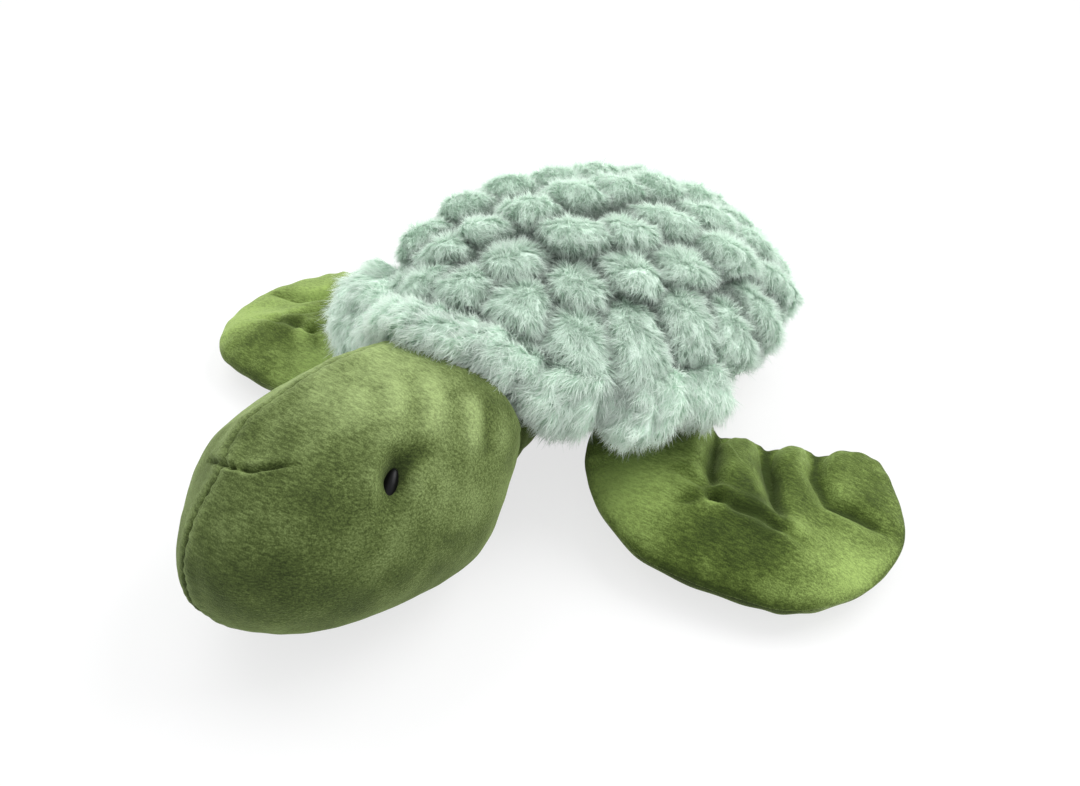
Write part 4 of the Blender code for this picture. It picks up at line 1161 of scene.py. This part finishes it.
def furTree(name, tipSteps):
    tree, given, out = newGroup("GeometryNodeTree", name, {
        "Geometry": "Geometry", "Density": "Float", "Strand Length": "Float", "Strand Width": "Float",
        "Scatter": "Float", "Clump": "Float", "Lock Size": "Float", "Gather": "Float",
        "Seed": "Int", "Fur": "Material"}, {"Geometry": "Geometry"})
    tree.is_modifier = True

    def attribute(label, kind="FLOAT"):
        return put(tree, "GeometryNodeInputNamedAttribute", {"Name": label},
                   data_type=kind).outputs["Attribute"]

    def stored(geometry, label, value, **settings):
        return put(tree, "GeometryNodeStoreNamedAttribute", {
            "Geometry": geometry, "Name": label, "Value": value}, **settings).outputs[0]

    def vectors(kind, *values):
        return put(tree, "ShaderNodeVectorMath", dict(enumerate(values)), operation=kind).outputs[0]

    def packed(*values):
        return put(tree, "ShaderNodeCombineXYZ", dict(enumerate(values))).outputs[0]

    def product(a, b):
        return maths(tree, "MULTIPLY", a, b)

    def total(a, b):
        return maths(tree, "ADD", a, b)

    def chance(low, high, seedStep):
        return put(tree, "FunctionNodeRandomValue", {
            2: low, 3: high, "Seed": total(given["Seed"], seedStep)}, data_type="FLOAT").outputs[1]

    position = put(tree, "GeometryNodeInputPosition").outputs[0]

    def strand(bend, curl):  # a thin leaf of cloth fibre, bent and pointed
        leaf = put(tree, "GeometryNodeMeshGrid", {
            "Size X": 1, "Size Y": 1, "Vertices X": 2, "Vertices Y": tipSteps})
        parts = put(tree, "ShaderNodeSeparateXYZ", {0: position}).outputs
        up = total(parts["Y"], 0.5)
        square = product(up, up)
        thin = maths(tree, "SUBTRACT", 1.0, maths(tree, "POWER", up, 3.5))
        side = product(parts["X"], thin)
        kept = stored(stored(leaf.outputs["Mesh"], "along", up), "side", side)
        bent = packed(total(side, product(square, curl)), product(square, -bend), up)
        shaped = put(tree, "GeometryNodeSetPosition", {"Geometry": kept, "Position": bent})
        return put(tree, "GeometryNodeMergeByDistance", {
            "Geometry": shaped.outputs[0], "Distance": 0.001}).outputs[0]

    leaves = put(tree, "GeometryNodeGeometryToInstance")
    for bend, curl in coat["bends"]:
        tree.links.new(strand(bend, curl), leaves.inputs[0])

    spread = put(tree, "GeometryNodeDistributePointsOnFaces", {
        "Mesh": given["Geometry"], "Seed": given["Seed"],
        "Density": product(given["Density"], attribute("strandCover"))}).outputs

    # each strand's way: as painted on the skin, in clumps and locks, and a little by chance
    cloud = put(tree, "ShaderNodeTexNoise", {
        "Vector": position, "Scale": 1 / coat["cloudSize"], "Detail": 1}).outputs["Color"]
    locks = put(tree, "ShaderNodeTexVoronoi", {
        "Vector": position, "Scale": maths(tree, "DIVIDE", 1.0, given["Lock Size"])}).outputs
    middle = (0.5, 0.5, 0.5)
    gather = maths(tree, "DIVIDE", given["Gather"], given["Strand Length"])
    way = attribute("strandWay", "FLOAT_VECTOR")
    for part, share in (
        (vectors("SUBTRACT", cloud, middle), given["Clump"]),
        (vectors("SUBTRACT", locks["Position"], position), gather),
        (vectors("SUBTRACT", locks["Color"], middle), product(given["Clump"], 0.35)),
        (packed(chance(-1, 1, 1), chance(-1, 1, 2), chance(-1, 1, 3)), given["Scatter"]),
    ):
        way = vectors("ADD", way, scaled(tree, part, share))

    stand = put(tree, "FunctionNodeAlignRotationToVector", {"Vector": way}, axis="Z")
    faceOut = put(tree, "FunctionNodeAlignRotationToVector", {
        "Rotation": stand.outputs[0], "Vector": spread["Normal"]}, axis="Y", pivot_axis="Z")
    spin = put(tree, "FunctionNodeAxisAngleToRotation", {
        "Axis": (0, 0, 1), "Angle": chance(-0.45, 0.45, 4)})
    turned = put(tree, "FunctionNodeRotateRotation", {
        "Rotation": faceOut.outputs[0], "Rotate By": spin.outputs[0]}, rotation_space="LOCAL")

    pick = put(tree, "FunctionNodeRandomValue", {
        4: 0, 5: len(coat["bends"]) - 1, "Seed": total(given["Seed"], 9)}, data_type="INT")
    reach = product(product(given["Strand Length"], chance(0.84, 1.06, 5)), attribute("strandReach"))
    wide = product(given["Strand Width"], chance(0.7, 1.35, 6))
    placed = put(tree, "GeometryNodeInstanceOnPoints", {
        "Points": spread["Points"], "Instance": leaves.outputs[0], "Pick Instance": True,
        "Instance Index": pick.outputs[2], "Rotation": turned.outputs[0],
        "Scale": packed(wide, reach, reach)})

    mottle = put(tree, "ShaderNodeTexNoise", {
        "Vector": position, "Scale": coat["mottleScale"]}).outputs["Fac"]
    # the strand's tone: the skin's painted light and crease shade, with random tone and mottle
    tone = total(product(attribute("strandToneAndShade"), 0.80), chance(-0.12, 0.26, 7))
    tone = total(tone, product(mottle, 0.08))
    tinted = stored(placed.outputs[0], "tone", tone, domain="INSTANCE")
    solid = put(tree, "GeometryNodeRealizeInstances", {0: tinted})
    across = total(product(attribute("tone"), 0.92), 0.03)
    across = total(across, product(attribute("side"), 0.02))
    strandMap = packed(across, product(attribute("along"), 0.98), 0)
    mapped = stored(solid.outputs[0], "OFBake", strandMap, data_type="FLOAT2", domain="CORNER")
    painted = put(tree, "GeometryNodeSetMaterial", {"Geometry": mapped, "Material": given["Fur"]})
    fill(tree, out, {0: painted.outputs[0]})
    return tree


def bakedFrom(carrier, tree, settings, name, drop=()):
    modifier = carrier.modifiers.new(name, "NODES")
    modifier.node_group = tree
    for item in tree.interface.items_tree:
        if item.in_out == "INPUT" and item.name in settings:
            modifier[item.identifier] = settings[item.name]
    bpy.context.view_layer.update()
    ready = carrier.evaluated_get(bpy.context.evaluated_depsgraph_get())
    mesh = bpy.data.meshes.new_from_object(ready)
    carrier.modifiers.remove(modifier)
    mesh.name = name
    for label in drop:
        if label in mesh.attributes:
            mesh.attributes.remove(mesh.attributes[label])
    piece = bpy.data.objects.new(name, mesh)
    bpy.context.scene.collection.objects.link(piece)
    return piece


shortTree, longTree = furTree("pileStrands", 3), furTree("brimStrands", 4)
shellCoat, brimCoat = [], []
share = 1
leftOver = ("along", "side", "tone", "strandWay", "strandCover", "strandToneAndShade", "strandReach")
for carrier, key, tree, material, clump, lock, into in (
    (shellSkin, "shellStrands", shortTree, shellFur, 1.9, 0.0050, shellCoat),
    (brimSkin, "brimStrands", longTree, brimFur, 1.6, 0.0080, brimCoat),
):
    for name, density, length, width, scatter, seed in coat[key]:
        into.append(bakedFrom(carrier, tree, {
            "Density": density * share, "Strand Length": length,
            "Strand Width": width / math.sqrt(share), "Scatter": scatter, "Clump": clump,
            "Lock Size": lock, "Gather": coat["gather"], "Seed": seed, "Fur": material},
            name, leftOver))
        print("turtle:", name, len(into[-1].data.polygons), "faces")


# what each piece rides on and stands for

for piece in [shellSkin, brimSkin, bellySkin, *shellCoat, *brimCoat]:
    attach(piece, "root")
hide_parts("shell_cover")
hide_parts("shell_brim")
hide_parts("belly_panel", "body_stuffing")

for piece, node in ((headLeft, "head_panel_left"), (headRight, "head_panel_right")):
    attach(piece, "head")
    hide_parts(node, *(("head_stuffing",) if piece == headLeft else ()))
for piece, node in ((eyeLeft, "eye_left"), (eyeRight, "eye_right")):
    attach(piece, "head")
    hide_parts(node)
for node in ("eye_washer_left", "eye_washer_right"):
    for slot in frame["nodes"][node].material_slots:
        slot.material = washerPlastic
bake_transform(neckCloth)
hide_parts("neck_cover", "neck_stuffing")

for body, (top, bottom) in limbs.items():
    for piece, label in ((top, "top"), (bottom, "bottom")):
        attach(piece, body)
        stuffing = (f"{body}_stuffing",) if label == "bottom" else ()
        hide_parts(f"{body}_{label}_panel", *stuffing)
for piece, fill in ((shellSkin, 0.7), (brimSkin, 0.4), (bellySkin, 0.6), (headLeft, 0.7),
                    (headRight, 0.7), (neckCloth, 0.4)):
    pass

print("turtle: pieces ride on their bodies")
